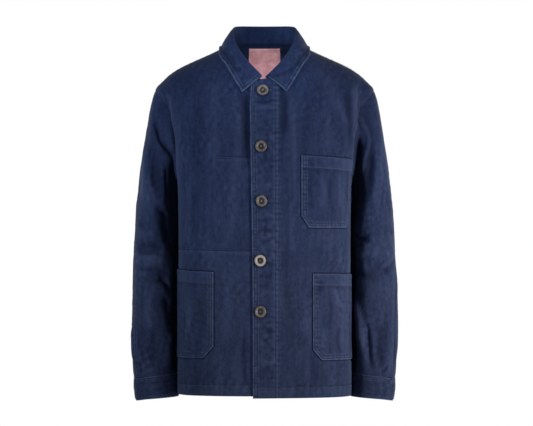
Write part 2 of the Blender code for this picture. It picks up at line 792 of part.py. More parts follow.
def collar_line(table, share, side):
    """A point of the collar's roll or edge."""
    shares = column(table, COLLAR_COLUMNS, "share")
    known = [column(table, COLLAR_COLUMNS, name) for name in COLLAR_COLUMNS[1:]]
    x, y, z = (float(smooth(shares, values, share)) for values in known)
    return np.array([side * x, y, z])


def collar_column(seam, share, side):
    """A strip of the collar: up the stand, over the roll and down the fall."""
    roll = collar_line(COLLAR_ROLL, share, side)
    edge = collar_line(COLLAR_EDGE, share, side)
    up = unit(roll - seam)
    fall = edge - roll
    away = unit(fall - up * (fall @ up))
    dip = min(COLLAR_ROLL_RADIUS, np.linalg.norm(roll - seam) / 2)
    inside = roll - up * dip - away * COLLAR_ROLL_RADIUS
    outside = roll - up * dip + away * COLLAR_ROLL_RADIUS
    strip = [seam, (seam + inside) / 2, inside, roll, push_off_torso(outside, COLLAR_LIFT)]
    for step in range(1, COLLAR_FALL_STEPS + 1):
        part = step / COLLAR_FALL_STEPS
        crown = away * COLLAR_FALL_CROWN * math.sin(math.pi * part)
        strip.append(push_off_torso(outside + (edge - outside) * part + crown, COLLAR_LIFT))
    return strip


def make_collar():
    """The collar: columns from its right end round the back to its left end, rows from seam to edge."""
    seam = np.array(neck_points())
    half = FRONT_NECK_STEPS + BACK_NECK_STEPS
    lengths = np.concatenate(([0], np.cumsum(np.linalg.norm(np.diff(seam, axis=0), axis=1))))
    strips = []
    for number, point in enumerate(seam):
        side = RIGHT if number < half else LEFT
        ends = (lengths[half] - lengths[0]) if side == RIGHT else (lengths[-1] - lengths[half])
        strips.append(collar_column(point, abs(lengths[number] - lengths[half]) / ends, side))
    return Cloth("collar", np.array(strips).transpose(1, 0, 2), COLLAR_WALL, 1)


# Pockets, label and buttons


def spaced(low, high, step, stops):
    """Stations from low to high that include the stops, at most a step apart."""
    stations = []
    marks = sorted({low, high, *stops})
    for start, end in zip(marks, marks[1:]):
        count = max(1, math.ceil((end - start) / step))
        stations += list(np.linspace(start, end, count + 1)[:-1])
    return stations + [high]


def pocket_places(pocket):
    """Places of a patch pocket, rows from the bottom up. Its two lower corners are cut off."""
    near, bottom = pocket["near"], pocket["bottom"]
    width = pocket["far"] - near
    top = min(pocket["top_near"], pocket["top_far"])
    heights = spaced(bottom, top, POCKET_STEP, [bottom + pocket["cut_up"]])
    places = []
    for row, height in enumerate(heights):
        cut = pocket["cut_across"] * max(0.0, 1 - (height - bottom) / pocket["cut_up"])
        up = row / (len(heights) - 1)
        line = []
        for share in np.linspace(0, 1, math.ceil(width / POCKET_STEP) + 1):
            top = pocket["top_near"] + (pocket["top_far"] - pocket["top_near"]) * share
            line.append((near + cut + (width - 2 * cut) * share, height + (top - heights[-1]) * up))
        places.append(line)
    return places


def make_pocket(pocket, material, parts):
    """A patch pocket on its front: both its faces are the front's points, moved out."""
    places = pocket_places(pocket)
    faces = []
    for lift in (WALL / 2 + POCKET_LIFT + POCKET_WALL, WALL / 2 + POCKET_LIFT):
        grid = [[torso_point(pocket["side"], along, height, lift) for along, height in row] for row in places]
        faces.append(np.array(grid))
    closed_wall(pocket["name"], faces[0], faces[1], material, parts)


def make_label(material, parts):
    """The label, on the inner face of the back."""
    faces = []
    for lift in (-WALL / 2 - LABEL_LIFT, -WALL / 2 - LABEL_LIFT - LABEL_WALL):
        grid = []
        for height in np.linspace(LABEL_BOTTOM, LABEL_TOP, LABEL_STEPS + 1):
            row = []
            for across in np.linspace(-LABEL_HALF_WIDTH, LABEL_HALF_WIDTH, LABEL_STEPS + 1):
                side = LEFT if across >= 0 else RIGHT
                row.append(torso_point(side, girth_half(height) - abs(across), height, lift))
            grid.append(row)
        faces.append(np.array(grid))
    closed_wall("neck_label", faces[0], faces[1], material, parts)


def button_holes(cutters):
    """The cutter of a button's holes."""
    mesh = bmesh.new()
    for number in range(BUTTON_HOLES):
        turn = math.tau * (number + 0.5) / BUTTON_HOLES
        spread = BUTTON_HOLE_SPREAD * MM
        place = Matrix.Translation((spread * math.cos(turn), spread * math.sin(turn), 0))
        bmesh.ops.create_cone(
            mesh,
            cap_ends=True,
            segments=BUTTON_HOLE_SIDES,
            radius1=BUTTON_HOLE_RADIUS * MM,
            radius2=BUTTON_HOLE_RADIUS * MM,
            depth=BUTTON_HOLE_DEPTH * MM,
            matrix=place,
        )
    data = bpy.data.meshes.new("button_holes")
    mesh.to_mesh(data)
    mesh.free()
    cutter = bpy.data.objects.new("button_holes", data)
    cutter.hide_render = True
    cutter.display_type = "WIRE"
    cutters.objects.link(cutter)
    return cutter


def make_button(number, across, height, material, parts, cutters):
    """A button, turned from its profile, with its back on the left front's outer face."""
    middle = torso_point(LEFT, across, height, WALL / 2 + BAND_EXTRA + BUTTON_GAP)
    out = torso_out(LEFT, across, height)
    data = bpy.data.meshes.new(f"button_{number}")
    profile = [(radius * MM, 0, up * MM) for radius, up in BUTTON_PROFILE]
    data.from_pydata(profile, [(n, n + 1) for n in range(len(profile) - 1)], [])
    data.materials.append(material)
    button = bpy.data.objects.new(f"button_{number}", data)
    parts.objects.link(button)
    turn = button.modifiers.new("turn", "SCREW")
    turn.steps = turn.render_steps = BUTTON_STEPS
    turn.use_merge_vertices = True
    turn.merge_threshold = MERGE_WITHIN * MM
    turn.use_normal_calculate = True
    cut = button.modifiers.new("holes", "BOOLEAN")
    cut.object = button_holes(cutters)
    pose = Vector(out).to_track_quat("Z", "Y").to_matrix().to_4x4()
    pose.translation = Vector(middle) * MM
    button.matrix_world = pose
    cut.object.matrix_world = pose


# The jacket


def clear_scene():
    """Removes the objects that are there."""
    for thing in list(bpy.data.objects):
        bpy.data.objects.remove(thing)


def make_material(name):
    """A plain material with the part's colour."""
    (red, green, blue), roughness = COLOURS[name]
    material = bpy.data.materials.new(name)
    material.use_nodes = True
    shader = material.node_tree.nodes["Principled BSDF"]
    shader.inputs["Base Color"].default_value = (red, green, blue, 1)
    shader.inputs["Roughness"].default_value = roughness
    shader.inputs["Metallic"].default_value = 0
    return material


def new_collection(name):
    """A collection in the scene."""
    collection = bpy.data.collections.new(name)
    bpy.context.scene.collection.children.link(collection)
    return collection


def make_jacket():
    """Builds every piece."""
    clear_scene()
    parts, cutters = new_collection("chore_jacket"), new_collection("cutters")
    materials = {name: make_material(name) for name in COLOURS}
    cotton = materials["navy_cotton"]
    pieces = [make_front(LEFT), make_front(RIGHT), make_back(), make_collar()]
    for side in (LEFT, RIGHT):
        pieces += make_sleeve(side) + [make_cuff(side)]
    sew(pieces)
    for piece in pieces:
        piece.build(cotton, parts)
    for pocket in named_rows(POCKET_COLUMNS, POCKETS):
        make_pocket(pocket, cotton, parts)
    make_label(materials["pink_label"], parts)
    for number, (across, height) in enumerate(BUTTONS, 1):
        make_button(number, across, height, materials["brown_button"], parts, cutters)


make_jacket()
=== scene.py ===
"""Looks of the chore jacket: every piece of cloth again, finer, with its creases, seams, stitches and weave.

Sizes are in millimetres and become metres when a mesh is made. The front faces -Y, +X is the wearer's left.
"""

import math

import bmesh
import bpy
import numpy as np
from mathutils import Matrix, Vector
from mathutils.kdtree import KDTree


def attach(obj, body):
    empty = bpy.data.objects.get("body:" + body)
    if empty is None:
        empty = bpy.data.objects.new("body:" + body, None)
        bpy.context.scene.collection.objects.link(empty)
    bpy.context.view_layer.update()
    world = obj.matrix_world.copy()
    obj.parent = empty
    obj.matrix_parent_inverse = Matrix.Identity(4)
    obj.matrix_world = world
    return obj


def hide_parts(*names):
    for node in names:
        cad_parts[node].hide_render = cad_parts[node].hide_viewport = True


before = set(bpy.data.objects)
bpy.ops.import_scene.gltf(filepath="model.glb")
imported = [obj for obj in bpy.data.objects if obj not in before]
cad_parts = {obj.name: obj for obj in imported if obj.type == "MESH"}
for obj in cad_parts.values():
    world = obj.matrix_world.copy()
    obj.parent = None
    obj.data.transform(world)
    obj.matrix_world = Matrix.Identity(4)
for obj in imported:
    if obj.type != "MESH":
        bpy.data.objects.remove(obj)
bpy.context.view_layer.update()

MM = 0.001
LEFT, RIGHT = 1, -1
BOTH = 0  # in a table of creases: on each side
WORD = {LEFT: "left", RIGHT: "right"}

# Form: the same sizes as the part's source

WALL = 1.8
COLLAR_WALL, CUFF_WALL, POCKET_WALL, LABEL_WALL = 2.2, 2.4, 1.4, 0.7
TORSO_COLUMNS = ("height", "half_width", "front", "back", "square_front", "square_back", "press")
TORSO = (
    (12, 58, -30, 60, 1.9, 1.9, 0),
    (0, 73, -41, 67, 1.9, 1.9, 0),
    (-12, 95, -53, 76, 1.9, 1.9, 0),
    (-24, 121, -64, 84, 1.9, 1.95, 0),
    (-36, 148, -74, 91, 1.9, 2.0, 0),
    (-48, 172, -83, 97, 1.95, 2.05, 0),
    (-60, 190, -90, 102, 2.0, 2.1, 0),
    (-72, 203, -96, 106, 2.05, 2.15, 0),
    (-92, 219, -104, 112, 2.15, 2.2, 0),
    (-112, 213, -110, 117, 2.3, 2.3, 0),
    (-140, 199, -116, 122, 2.6, 2.4, 0),
    (-180, 188, -123, 127, 2.9, 2.6, 0),
    (-222, 181, -128, 130, 3.1, 2.75, 1),
    (-282, 175, -131, 130, 3.2, 2.8, 5),
    (-360, 171.5, -132, 127, 3.2, 2.8, 3),
    (-440, 170.5, -131, 124, 3.2, 2.8, 2),
    (-540, 171, -131, 126, 3.2, 2.8, 2),
    (-720, 173.5, -131, 131, 3.2, 2.8, 2),
)
PRESS_REACH = 62
NECK_HEIGHT = -5
BACK_NECK_HEIGHT = 0
FRONT_NECK_DROP = 66
SHOULDER_HEIGHT = -92
UNDERARM_HEIGHT = -282
ARMHOLE_HALF_DEPTH = 63
SIDE_HEM = {LEFT: -703.5, RIGHT: -700.5}
BACK_HEM = -702
COLLAR_END = {LEFT: 4, RIGHT: 10}
LAP_LEFT = ((-706, 23), (-432, 24), (-132, 29), (-76, 27))
LAP_RIGHT = ((-702, 20), (-74, 20))
LAP_SHIFT = 1.35
LAP_SHIFT_FROM, LAP_SHIFT_FULL = 52, 32
BAND_WIDTH_IN = 25
BAND_FADE = 5
BAND_EXTRA = 0.7
END_FADE = 4
TORSO_FOLDS = (
    (LEFT, 213, -72, 205, -140, 16, -5.0),
    (LEFT, 168, -84, 172, -190, 22, 2.5),
    (RIGHT, 214, -84, 206, -150, 18, -3.5),
    (RIGHT, 150, -70, 176, -200, 24, 2.2),
    (LEFT, 120, -110, 95, -300, 26, -2.2),
    (RIGHT, 112, -100, 92, -290, 26, -2.0),
    (LEFT, 70, -380, 62, -680, 26, 2.0),
    (RIGHT, 78, -330, 84, -690, 28, -2.4),
    (LEFT, 150, -380, 160, -690, 26, -2.2),
    (RIGHT, 150, -280, 158, -660, 28, 2.2),
    (LEFT, 330, -110, 350, -330, 28, -3.0),
    (RIGHT, 332, -100, 346, -310, 28, -2.6),
    (LEFT, 400, -420, 420, -690, 34, 3.0),
    (RIGHT, 390, -440, 405, -690, 32, 2.6),
    (LEFT, 480, -300, 470, -680, 34, -2.6),
    (RIGHT, 470, -330, 478, -690, 34, 2.4),
)
SLEEVE_COLUMNS = ("outer", "outer_height", "inner", "inner_height", "middle", "half_depth")
SLEEVE = (
    (219, -92, 170, -282, 4, 63),
    (224, -104, 174, -283.5, 5, 66),
    (229, -124, 177, -290, 6, 68),
    (234, -152, 177, -300, 7, 69),
    (240, -190, 175.5, -314, 8, 69),
    (248, -240, 174.5, -334, 9, 68),
    (254, -290, 174, -360, 10, 66),
    (259, -345, 173.5, -392, 10, 64),
    (262, -400, 174, -425, 9, 62),
    (264, -450, 173.5, -458, 7, 60),
    (265.5, -500, 173.5, -500, 4, 58),
    (266, -550, 174, -546, 0, 56),
    (266, -600, 174.5, -592, -4, 54),
    (264.5, -638, 175.5, -630, -7, 52),
    (262, -669, 176, -659, -9, 47),
)
CUFF = (
    (262, -669, 176, -659, -9, 47),
    (262.5, -684, 175.2, -675, -10, 47.5),
    (261, -699, 174.6, -691, -11, 47.5),
    (258.5, -713, 174.2, -706, -12, 47),
)
SLEEVE_SQUARE = 2.2
ARMHOLE_FADE = 0.3
FOLDS_FROM_ARMHOLE = 12
FOLDS_FROM_CUFF = 40
SEAM_TURN_COLUMNS = ("share", "front_seam", "back_seam")
SEAM_TURN = (
    (0, -60, 135),
    (0.3, -62, 122),
    (0.55, -70, 92),
    (0.72, -78, 66),
    (1, -84, 58),
)
ROUND_SLEEVE = 52
SLEEVE_FOLDS = (
    (LEFT, 14, -200, -40, -330, 17, -8.0),
    (LEFT, 45, -190, -12, -340, 15, 4.0),
    (LEFT, 30, -430, 66, -408, 13, 3.5),
    (LEFT, -20, -452, 40, -446, 12, -3.5),
    (LEFT, 8, -550, 12, -656, 13, -6.5),
    (LEFT, -34, -560, -22, -650, 14, 3.5),
    (LEFT, 40, -590, 30, -656, 13, 3.0),
    (RIGHT, 62, -170, -14, -310, 17, -8.0),
    (RIGHT, 80, -180, 20, -330, 16, 4.0),
    (RIGHT, -10, -330, -44, -400, 16, -6.5),
    (RIGHT, -20, -405, 60, -412, 12, -4.0),
    (RIGHT, -40, -432, 60, -440, 12, 3.5),
    (RIGHT, -46, -460, 30, -468, 14, -4.5),
    (RIGHT, 70, -560, 50, -640, 14, 3.5),
    (RIGHT, 0, -560, 10, -650, 14, -4.0),
    (LEFT, 150, -380, 200, -420, 14, -4.0),
    (RIGHT, 160, -390, 205, -425, 14, -4.0),
    (LEFT, 190, -470, 150, -520, 15, -3.5),
    (RIGHT, 190, -480, 150, -530, 15, -3.5),
    (LEFT, 170, -590, 176, -655, 13, -4.0),
    (RIGHT, 172, -585, 170, -655, 13, -4.5),
)
CUFF_LAP = 5
CUFF_LAP_STEP = 2.8
CUFF_LAP_RAMP = 40
CUFF_LAP_DROP = 1.2
COLLAR_COLUMNS = ("share", "along_x", "along_y", "along_z")
COLLAR_ROLL = (
    (0, 0, 72, 40),
    (0.2, 40, 62, 40),
    (0.33, 58, 36, 38),
    (0.43, 64, 8, 31),
    (0.55, 61, -26, 12),
    (0.7, 49, -58, -14),
    (0.85, 30, -83, -39),
    (1, 5, -99, -65),
)
COLLAR_EDGE = (
    (0, 0, 97, -19),
    (0.2, 52, 84, -18),
    (0.33, 80, 48, -12),
    (0.43, 89, 8, -8),
    (0.55, 89.5, -36, -24),
    (0.7, 75, -72, -48),
    (0.85, 60, -94, -73),
    (1, 44, -108, -98),
)
COLLAR_ROLL_RADIUS = 3.2
COLLAR_LIFT = 6
COLLAR_FALL_CROWN = 2.5
POCKET_COLUMNS = (
    "name", "side", "near", "far", "top_near", "top_far", "bottom", "cut_across", "cut_up",
)
POCKETS = (
    ("pocket_chest", LEFT, 73, 198, -223, -231, -367, 15, 23),
    ("pocket_lower_left", LEFT, 96, 258, -458, -461, -630, 18, 20),
    ("pocket_lower_right", RIGHT, 102, 258, -455, -448, -626, 21, 23),
)
BUTTONS = ((-3.6, -94.6), (-6.6, -206), (-6, -314), (-8.4, -432.4), (-8, -533.6))
LABEL_HALF_WIDTH = 32.5
HEM_STITCHES = 22
EDGE_ROW = 3.5
TWIN_ROWS = (EDGE_ROW, 9.5)
CUFF_STITCHES = 11.5
COLLAR_STITCHES = 5.5
POCKET_HEM = 24
FACING_STITCHES = (21, 28)  # rows that hold the facing down, from the centre front
POCKET_BAG_TOP, POCKET_BAG_HEIGHT, POCKET_BAG_SLOPE = -230, -412, 0.02  # stitches of the inside pocket
LABEL_TOP, LABEL_BOTTOM = -3, -67

# Creases, as soft ridges (+) and troughs (-): (side, places along it, half width, rise, lean if it leans).
# Places are (x from the middle, height) on the fronts, (distance from the centre front, height) on the back
# and (degrees round, height) on the sleeves, with 0 in front, 90 outside and -90 by the body.

FRONT_CREASES = (
    (LEFT, ((176, -76), (180, -120), (178, -200)), 7, 4.0),
    (LEFT, ((163, -84), (167, -140), (170, -215)), 9, -2.2),
    (LEFT, ((140, -110), (156, -150), (172, -170)), 6, 0.9, 0.3),
    (BOTH, ((176, -130), (169, -330), (168, -440), (168, -560), (170, -640), (171, -860)), 21, 3.2),
    (LEFT, ((60, -150), (57, -250), (60, -330)), 4, 0.7, 0.2),
    (LEFT, ((53, -320), (51, -390), (56, -420)), 4.5, 1.2),
    (LEFT, ((86, -120), (80, -200), (82, -300)), 9, -0.8),
    (LEFT, ((120, -120), (126, -190), (124, -224)), 8, 0.9),
    (LEFT, ((44, -260), (40, -420), (46, -560)), 8, -0.8),
    (LEFT, ((76, -480), (84, -600), (82, -690)), 7, 0.8, 0.3),
    (LEFT, ((66, -560), (92, -640), (110, -700)), 9, -0.9),
    (LEFT, ((120, -630), (132, -670), (130, -700)), 6, 0.6),
    (LEFT, ((44, -650), (50, -680), (46, -706)), 5, 0.9),
    (LEFT, ((152, -400), (150, -430), (158, -455)), 6, 1.2),
    (LEFT, ((136, -395), (142, -430), (138, -456)), 6, -0.8),
    (LEFT, ((34, -80), (40, -120), (38, -190)), 6, -2.6),
    (LEFT, ((50, -100), (56, -160), (52, -240)), 9, 1.0),
    (LEFT, ((100, -40), (130, -90), (150, -150)), 12, 0.8),
    (LEFT, ((-24, -118), (2, -119), (28, -112)), 3.0, -1.7, 0.3),
    (LEFT, ((-20, -128), (6, -126), (24, -130)), 3.6, 1.2),
    (LEFT, ((-20, -190), (4, -187), (26, -189)), 3.6, 1.0),
    (LEFT, ((-18, -228), (4, -232), (26, -227)), 4.5, -0.8),
    (LEFT, ((-16, -286), (2, -281), (24, -287)), 4.5, 1.0),
    (LEFT, ((-18, -342), (2, -338), (22, -344)), 4.0, 1.0),
    (LEFT, ((-16, -366), (6, -371), (24, -368)), 4.5, -1.0),
    (LEFT, ((-18, -462), (4, -467), (20, -461)), 4.0, -1.0),
    (LEFT, ((-16, -500), (2, -495), (24, -502)), 5.0, 0.8),
    (LEFT, ((-18, -566), (6, -572), (24, -566)), 4.5, -1.0),
    (LEFT, ((-16, -628), (4, -633), (22, -626)), 5.0, 1.2),
    (LEFT, ((-16, -655), (6, -650), (22, -657)), 4.5, -1.0),
    (RIGHT, ((200, -100), (196, -130), (190, -170)), 4, -1.6),
    (RIGHT, ((190, -100), (184, -150), (180, -200)), 7, 1.8),
    (RIGHT, ((42, -90), (36, -140), (35, -250)), 8, -3.2),
    (RIGHT, ((60, -95), (52, -180), (56, -300)), 9, 0.9),
    (RIGHT, ((96, -60), (104, -150), (98, -260)), 12, 0.8),
    (RIGHT, ((130, -90), (136, -180), (128, -280)), 12, -0.8),
    (RIGHT, ((152, -272), (148, -320), (156, -380)), 6, 0.8),
    (RIGHT, ((134, -280), (140, -330), (136, -400)), 7, -0.8),
    (RIGHT, ((70, -250), (66, -330), (74, -420)), 8, 0.7),
    (RIGHT, ((38, -280), (46, -360), (36, -430)), 7, -0.7),
    (RIGHT, ((40, -560), (42, -620), (37, -690)), 5, -1.6, 0.2),
    (RIGHT, ((52, -590), (60, -640), (54, -700)), 7, 0.9),
    (RIGHT, ((80, -440), (72, -520), (78, -600)), 8, 0.7),
    (RIGHT, ((94, -640), (90, -670), (96, -702)), 6, 0.7),
    (RIGHT, ((140, -640), (134, -670), (142, -700)), 7, -0.6),
)
POCKET_CREASES = (
    (LEFT, ((150, -236), (146, -280), (152, -340)), 6, 1.0),
    (LEFT, ((132, -252), (128, -300), (136, -350)), 5, -0.9),
    (LEFT, ((112, -256), (118, -300), (110, -340)), 6, 0.8),
    (LEFT, ((94, -250), (90, -300), (98, -345)), 5, -0.7),
    (LEFT, ((164, -250), (160, -300), (166, -350)), 4, -0.8),
    (LEFT, ((84, -228), (92, -238), (100, -246)), 5, -0.8),
    (LEFT, ((136, -484), (142, -510), (152, -534)), 6, 1.4, 0.3),
    (LEFT, ((126, -490), (130, -530), (126, -570)), 6, -0.9),
    (LEFT, ((112, -560), (118, -590), (110, -616)), 6, 0.8),
    (LEFT, ((150, -560), (144, -590), (152, -620)), 5, -0.9),
    (LEFT, ((104, -466), (110, -478), (106, -500)), 5, -0.9),
    (RIGHT, ((120, -490), (126, -540), (118, -590)), 8, -0.7),
    (RIGHT, ((150, -480), (146, -530), (152, -600)), 8, 0.7),
)
BACK_CREASES = (
    (LEFT, ((320, -120), (332, -200), (326, -330)), 9, -1.6, 0.2),
    (RIGHT, ((318, -115), (330, -220), (322, -320)), 9, -1.5, -0.2),
    (LEFT, ((300, -110), (308, -160), (304, -240)), 7, 1.4),
    (RIGHT, ((300, -115), (306, -170), (303, -230)), 7, 1.4),
    (LEFT, ((360, -60), (400, -90), (440, -100)), 14, 1.2),
    (RIGHT, ((360, -60), (405, -95), (440, -104)), 14, 1.1),
    (LEFT, ((380, -330), (390, -420), (384, -520)), 10, -1.4),
    (RIGHT, ((384, -350), (396, -430), (388, -540)), 10, -1.3),
    (LEFT, ((440, -250), (430, -340), (436, -430)), 9, 1.0),
    (RIGHT, ((436, -270), (428, -350), (432, -450)), 9, 1.0),
    (LEFT, ((340, -430), (350, -540), (344, -660)), 9, 1.1),
    (RIGHT, ((344, -440), (356, -550), (350, -670)), 9, 1.0),
    (LEFT, ((300, -500), (310, -600), (306, -690)), 9, -1.0),
    (RIGHT, ((304, -500), (312, -590), (308, -690)), 9, -1.0),
    (LEFT, ((410, -560), (420, -630), (414, -698)), 8, 1.0),
    (RIGHT, ((414, -570), (422, -640), (418, -698)), 8, -1.0),
    (LEFT, ((300, -270), (350, -300), (400, -296)), 10, -1.0),
    (RIGHT, ((300, -276), (354, -304), (404, -300)), 10, -1.0),
)
SLEEVE_CREASES = (
    # the hollow beside the body
    (LEFT, ((-28, -130), (-38, -210), (-52, -290), (-68, -370)), 18, -15, 0.3),
    (LEFT, ((-66, -350), (-68, -440), (-68, -560), (-68, -700)), 13, -10),
    (LEFT, ((8, -112), (3, -160), (-9, -205), (-28, -240)), 9, -13),
    (LEFT, ((32, -100), (27, -142), (20, -190), (-8, -234), (-24, -264)), 4.2, 7.5),
    (LEFT, ((40, -112), (26, -170), (8, -250), (-14, -330)), 10, -6),
    (LEFT, ((62, -140), (58, -240), (60, -340)), 9, 2.6),
    (LEFT, ((-62, -380), (-34, -392), (-4, -388)), 8, -5.4, 0.2),
    (LEFT, ((-50, -424), (-18, -414), (14, -420)), 9, 3.8),
    (LEFT, ((58, -418), (36, -436), (8, -448)), 5, 4.5, 0.2),
    (LEFT, ((60, -432), (40, -450), (14, -460)), 6, -4.2),
    (LEFT, ((-60, -452), (-30, -462), (4, -470)), 9, -3.8),
    (LEFT, ((20, -382), (44, -372), (66, -380)), 7, -3.5),
    (LEFT, ((-58, -500), (-40, -560), (-34, -620)), 11, 6.4),
    (LEFT, ((-18, -555), (-12, -600), (-10, -652)), 5.5, -6.5),
    (LEFT, ((-4, -570), (-1, -610), (2, -650)), 5.5, 3.0),
    (LEFT, ((36, -640), (24, -650), (12, -658)), 4, -3.0, 0.3),
    (LEFT, ((40, -652), (28, -660), (18, -664)), 3.5, 2.6),
    (LEFT, ((20, -500), (26, -560), (22, -620)), 9, -2.6),
    (LEFT, ((74, -440), (70, -540), (68, -650)), 5, 4.2, 0.3),
    (LEFT, ((60, -560), (57, -610), (58, -655)), 5, -2.4),
    (BOTH, ((-102, -180), (-100, -300), (-96, -420), (-92, -640), (-92, -780)), 24, 2.3),
    (BOTH, ((-100, -270), (-100, -315), (-98, -352)), 22, 3.0),
    (LEFT, ((100, -300), (112, -360), (108, -430)), 10, -2.4),
    (LEFT, ((-62, -290), (-80, -360), (-70, -420)), 12, -3.0),
    (RIGHT, ((54, -138), (40, -163), (18, -190), (-6, -212), (-32, -234)), 4.2, -7.5, 0.6),
    (RIGHT, ((30, -144), (6, -184), (-18, -214)), 6, 2.2),
    (RIGHT, ((-40, -210), (-42, -260), (-52, -330), (-66, -400)), 17, -12, 0.2),
    (RIGHT, ((-12, -238), (-24, -290), (-30, -335)), 6, -4.5, 0.3),
    (RIGHT, ((-66, -370), (-66, -440), (-66, -540), (-66, -700)), 14, -12),
    (RIGHT, ((6, -324), (-16, -336), (-40, -362)), 8, -5.0, 0.3),
    (RIGHT, ((-10, -346), (-36, -400), (-60, -440)), 10, -6.4),
    (RIGHT, ((50, -150), (44, -240), (40, -330)), 8, 2.4),
    (RIGHT, ((36, -190), (27, -260), (18, -345)), 4.5, 2.8, 0.2),
    (RIGHT, ((60, -356), (30, -362), (0, -358)), 5, -2.6),
    (RIGHT, ((58, -372), (26, -380), (-8, -376)), 5, 2.6),
    (RIGHT, ((62, -404), (20, -398), (-26, -408)), 5, -2.9, 0.2),
    (RIGHT, ((60, -420), (20, -426), (-34, -424)), 4.5, 3.8, 0.3),
    (RIGHT, ((58, -444), (16, -448), (-30, -452)), 4.5, -3.5, 0.3),
    (RIGHT, ((58, -458), (14, -462), (-20, -470)), 5, 2.4),
    (RIGHT, ((-4, -466), (-24, -474), (-48, -500)), 7, -6.0, 0.4),
    (RIGHT, ((-20, -500), (-38, -540), (-52, -580)), 10, -6.4),
    (RIGHT, ((-60, -560), (-40, -610), (-30, -655)), 10, 2.6),
    (RIGHT, ((70, -560), (62, -620), (52, -660)), 5, 3.4, 0.2),
    (RIGHT, ((46, -560), (34, -620), (24, -655)), 8, -2.0),
    (RIGHT, ((22, -600), (6, -626), (-8, -640)), 7, -1.8),
    (RIGHT, ((10, -480), (16, -540), (6, -590)), 10, 2.6),
    (RIGHT, ((104, -290), (112, -360), (104, -430)), 10, -2.2),
    (LEFT, ((136, -170), (142, -240), (150, -330)), 10, -2.6),
    (RIGHT, ((136, -165), (144, -250), (150, -330)), 10, -2.4),
    (LEFT, ((150, -400), (180, -416), (210, -406)), 6, 2.2, 0.2),
    (RIGHT, ((152, -404), (182, -420), (212, -408)), 6, 2.2, 0.2),
    (LEFT, ((150, -430), (184, -446), (214, -436)), 6, -2.4),
    (RIGHT, ((150, -434), (186, -450), (214, -440)), 6, -2.4),
    (LEFT, ((160, -560), (166, -610), (170, -655)), 6, 2.4),
    (RIGHT, ((160, -556), (168, -606), (172, -655)), 6, 2.4),
    (LEFT, ((190, -580), (194, -620), (198, -655)), 6, -2.2),
    (RIGHT, ((188, -584), (192, -624), (196, -655)), 6, -2.2),
)

# Fineness of the grids

SPACING = 3.0
EDGE_LINES = (0.22, 0.5)  # further lines between the first two and the last two of a grid
FAR_AWAY = 99.0
STITCH = 3.3  # from one stitch to the next
STITCH_LONG, STITCH_WIDE, STITCH_TALL = 2.5, 0.62, 0.5
STITCH_SECTION = ((-0.5, 0), (0, 1), (0.5, 0))  # share of the width and of the height
LENS_POINTS = 12  # four sections of three points
LENS_FACES = np.array([
    [low + corner, low + after, low + 3 + after, low + 3 + corner]
    for low in (0, 3, 6) for corner, after in ((0, 1), (1, 2), (2, 0))
])


# Curves and tables


def smooth(known, values, wanted):
    """A smooth curve through the points that never overshoots them."""
    known, values = np.asarray(known, float), np.asarray(values, float)
    rise = np.diff(values) / np.diff(known)
    slope = np.empty_like(values)
    slope[0], slope[-1] = rise[0], rise[-1]
    same_way = rise[:-1] * rise[1:] > 0
    total = np.where(same_way, rise[:-1] + rise[1:], 1)
    slope[1:-1] = np.where(same_way, 2 * rise[:-1] * rise[1:] / total, 0)
    wanted = np.clip(wanted, known[0], known[-1])
    at = np.clip(np.searchsorted(known, wanted) - 1, 0, len(known) - 2)
    width = known[at + 1] - known[at]
    share = (wanted - known[at]) / width
    kept = 2 * share**3 - 3 * share**2 + 1
    into = share**3 - 2 * share**2 + share
    out = share**3 - share**2
    return (
        kept * values[at] + (1 - kept) * values[at + 1] + width * (into * slope[at] + out * slope[at + 1])
    )


def column(table, names, name):
    return np.array([row[names.index(name)] for row in table], float)


def ease(share):
    share = np.clip(share, 0, 1)
    return share * share * (3 - 2 * share)


def bell(away, width):
    """1 where away is 0, falling off within the width."""
    return np.exp(-((away / width) ** 2))


def unit(vector):
    return vector / np.maximum(np.linalg.norm(vector, axis=-1, keepdims=True), 1e-12)


def lengths_of(line):
    return np.concatenate(([0], np.cumsum(np.linalg.norm(np.diff(line, axis=0), axis=1))))


def resample(line, at):
    """Values of a line's rows at whole and part indices."""
    line = np.asarray(line, float)
    return np.stack([np.interp(at, np.arange(len(line)), values) for values in line.T], axis=1)


def evened(line, places=None, count=None, step=SPACING):
    """The line cut in equal lengths, measured on it or on the places it stands for."""
    lengths = lengths_of(line if places is None else places)
    count = count or max(1, round(lengths[-1] / step))
    return resample(line, np.interp(np.linspace(0, lengths[-1], count + 1), lengths, np.arange(len(line))))


# Torso

HEIGHTS = np.arange(-735.0, 13.0)
SHARES = np.linspace(0, 1, 721)
FRONT_SHARES = SHARES[:361]


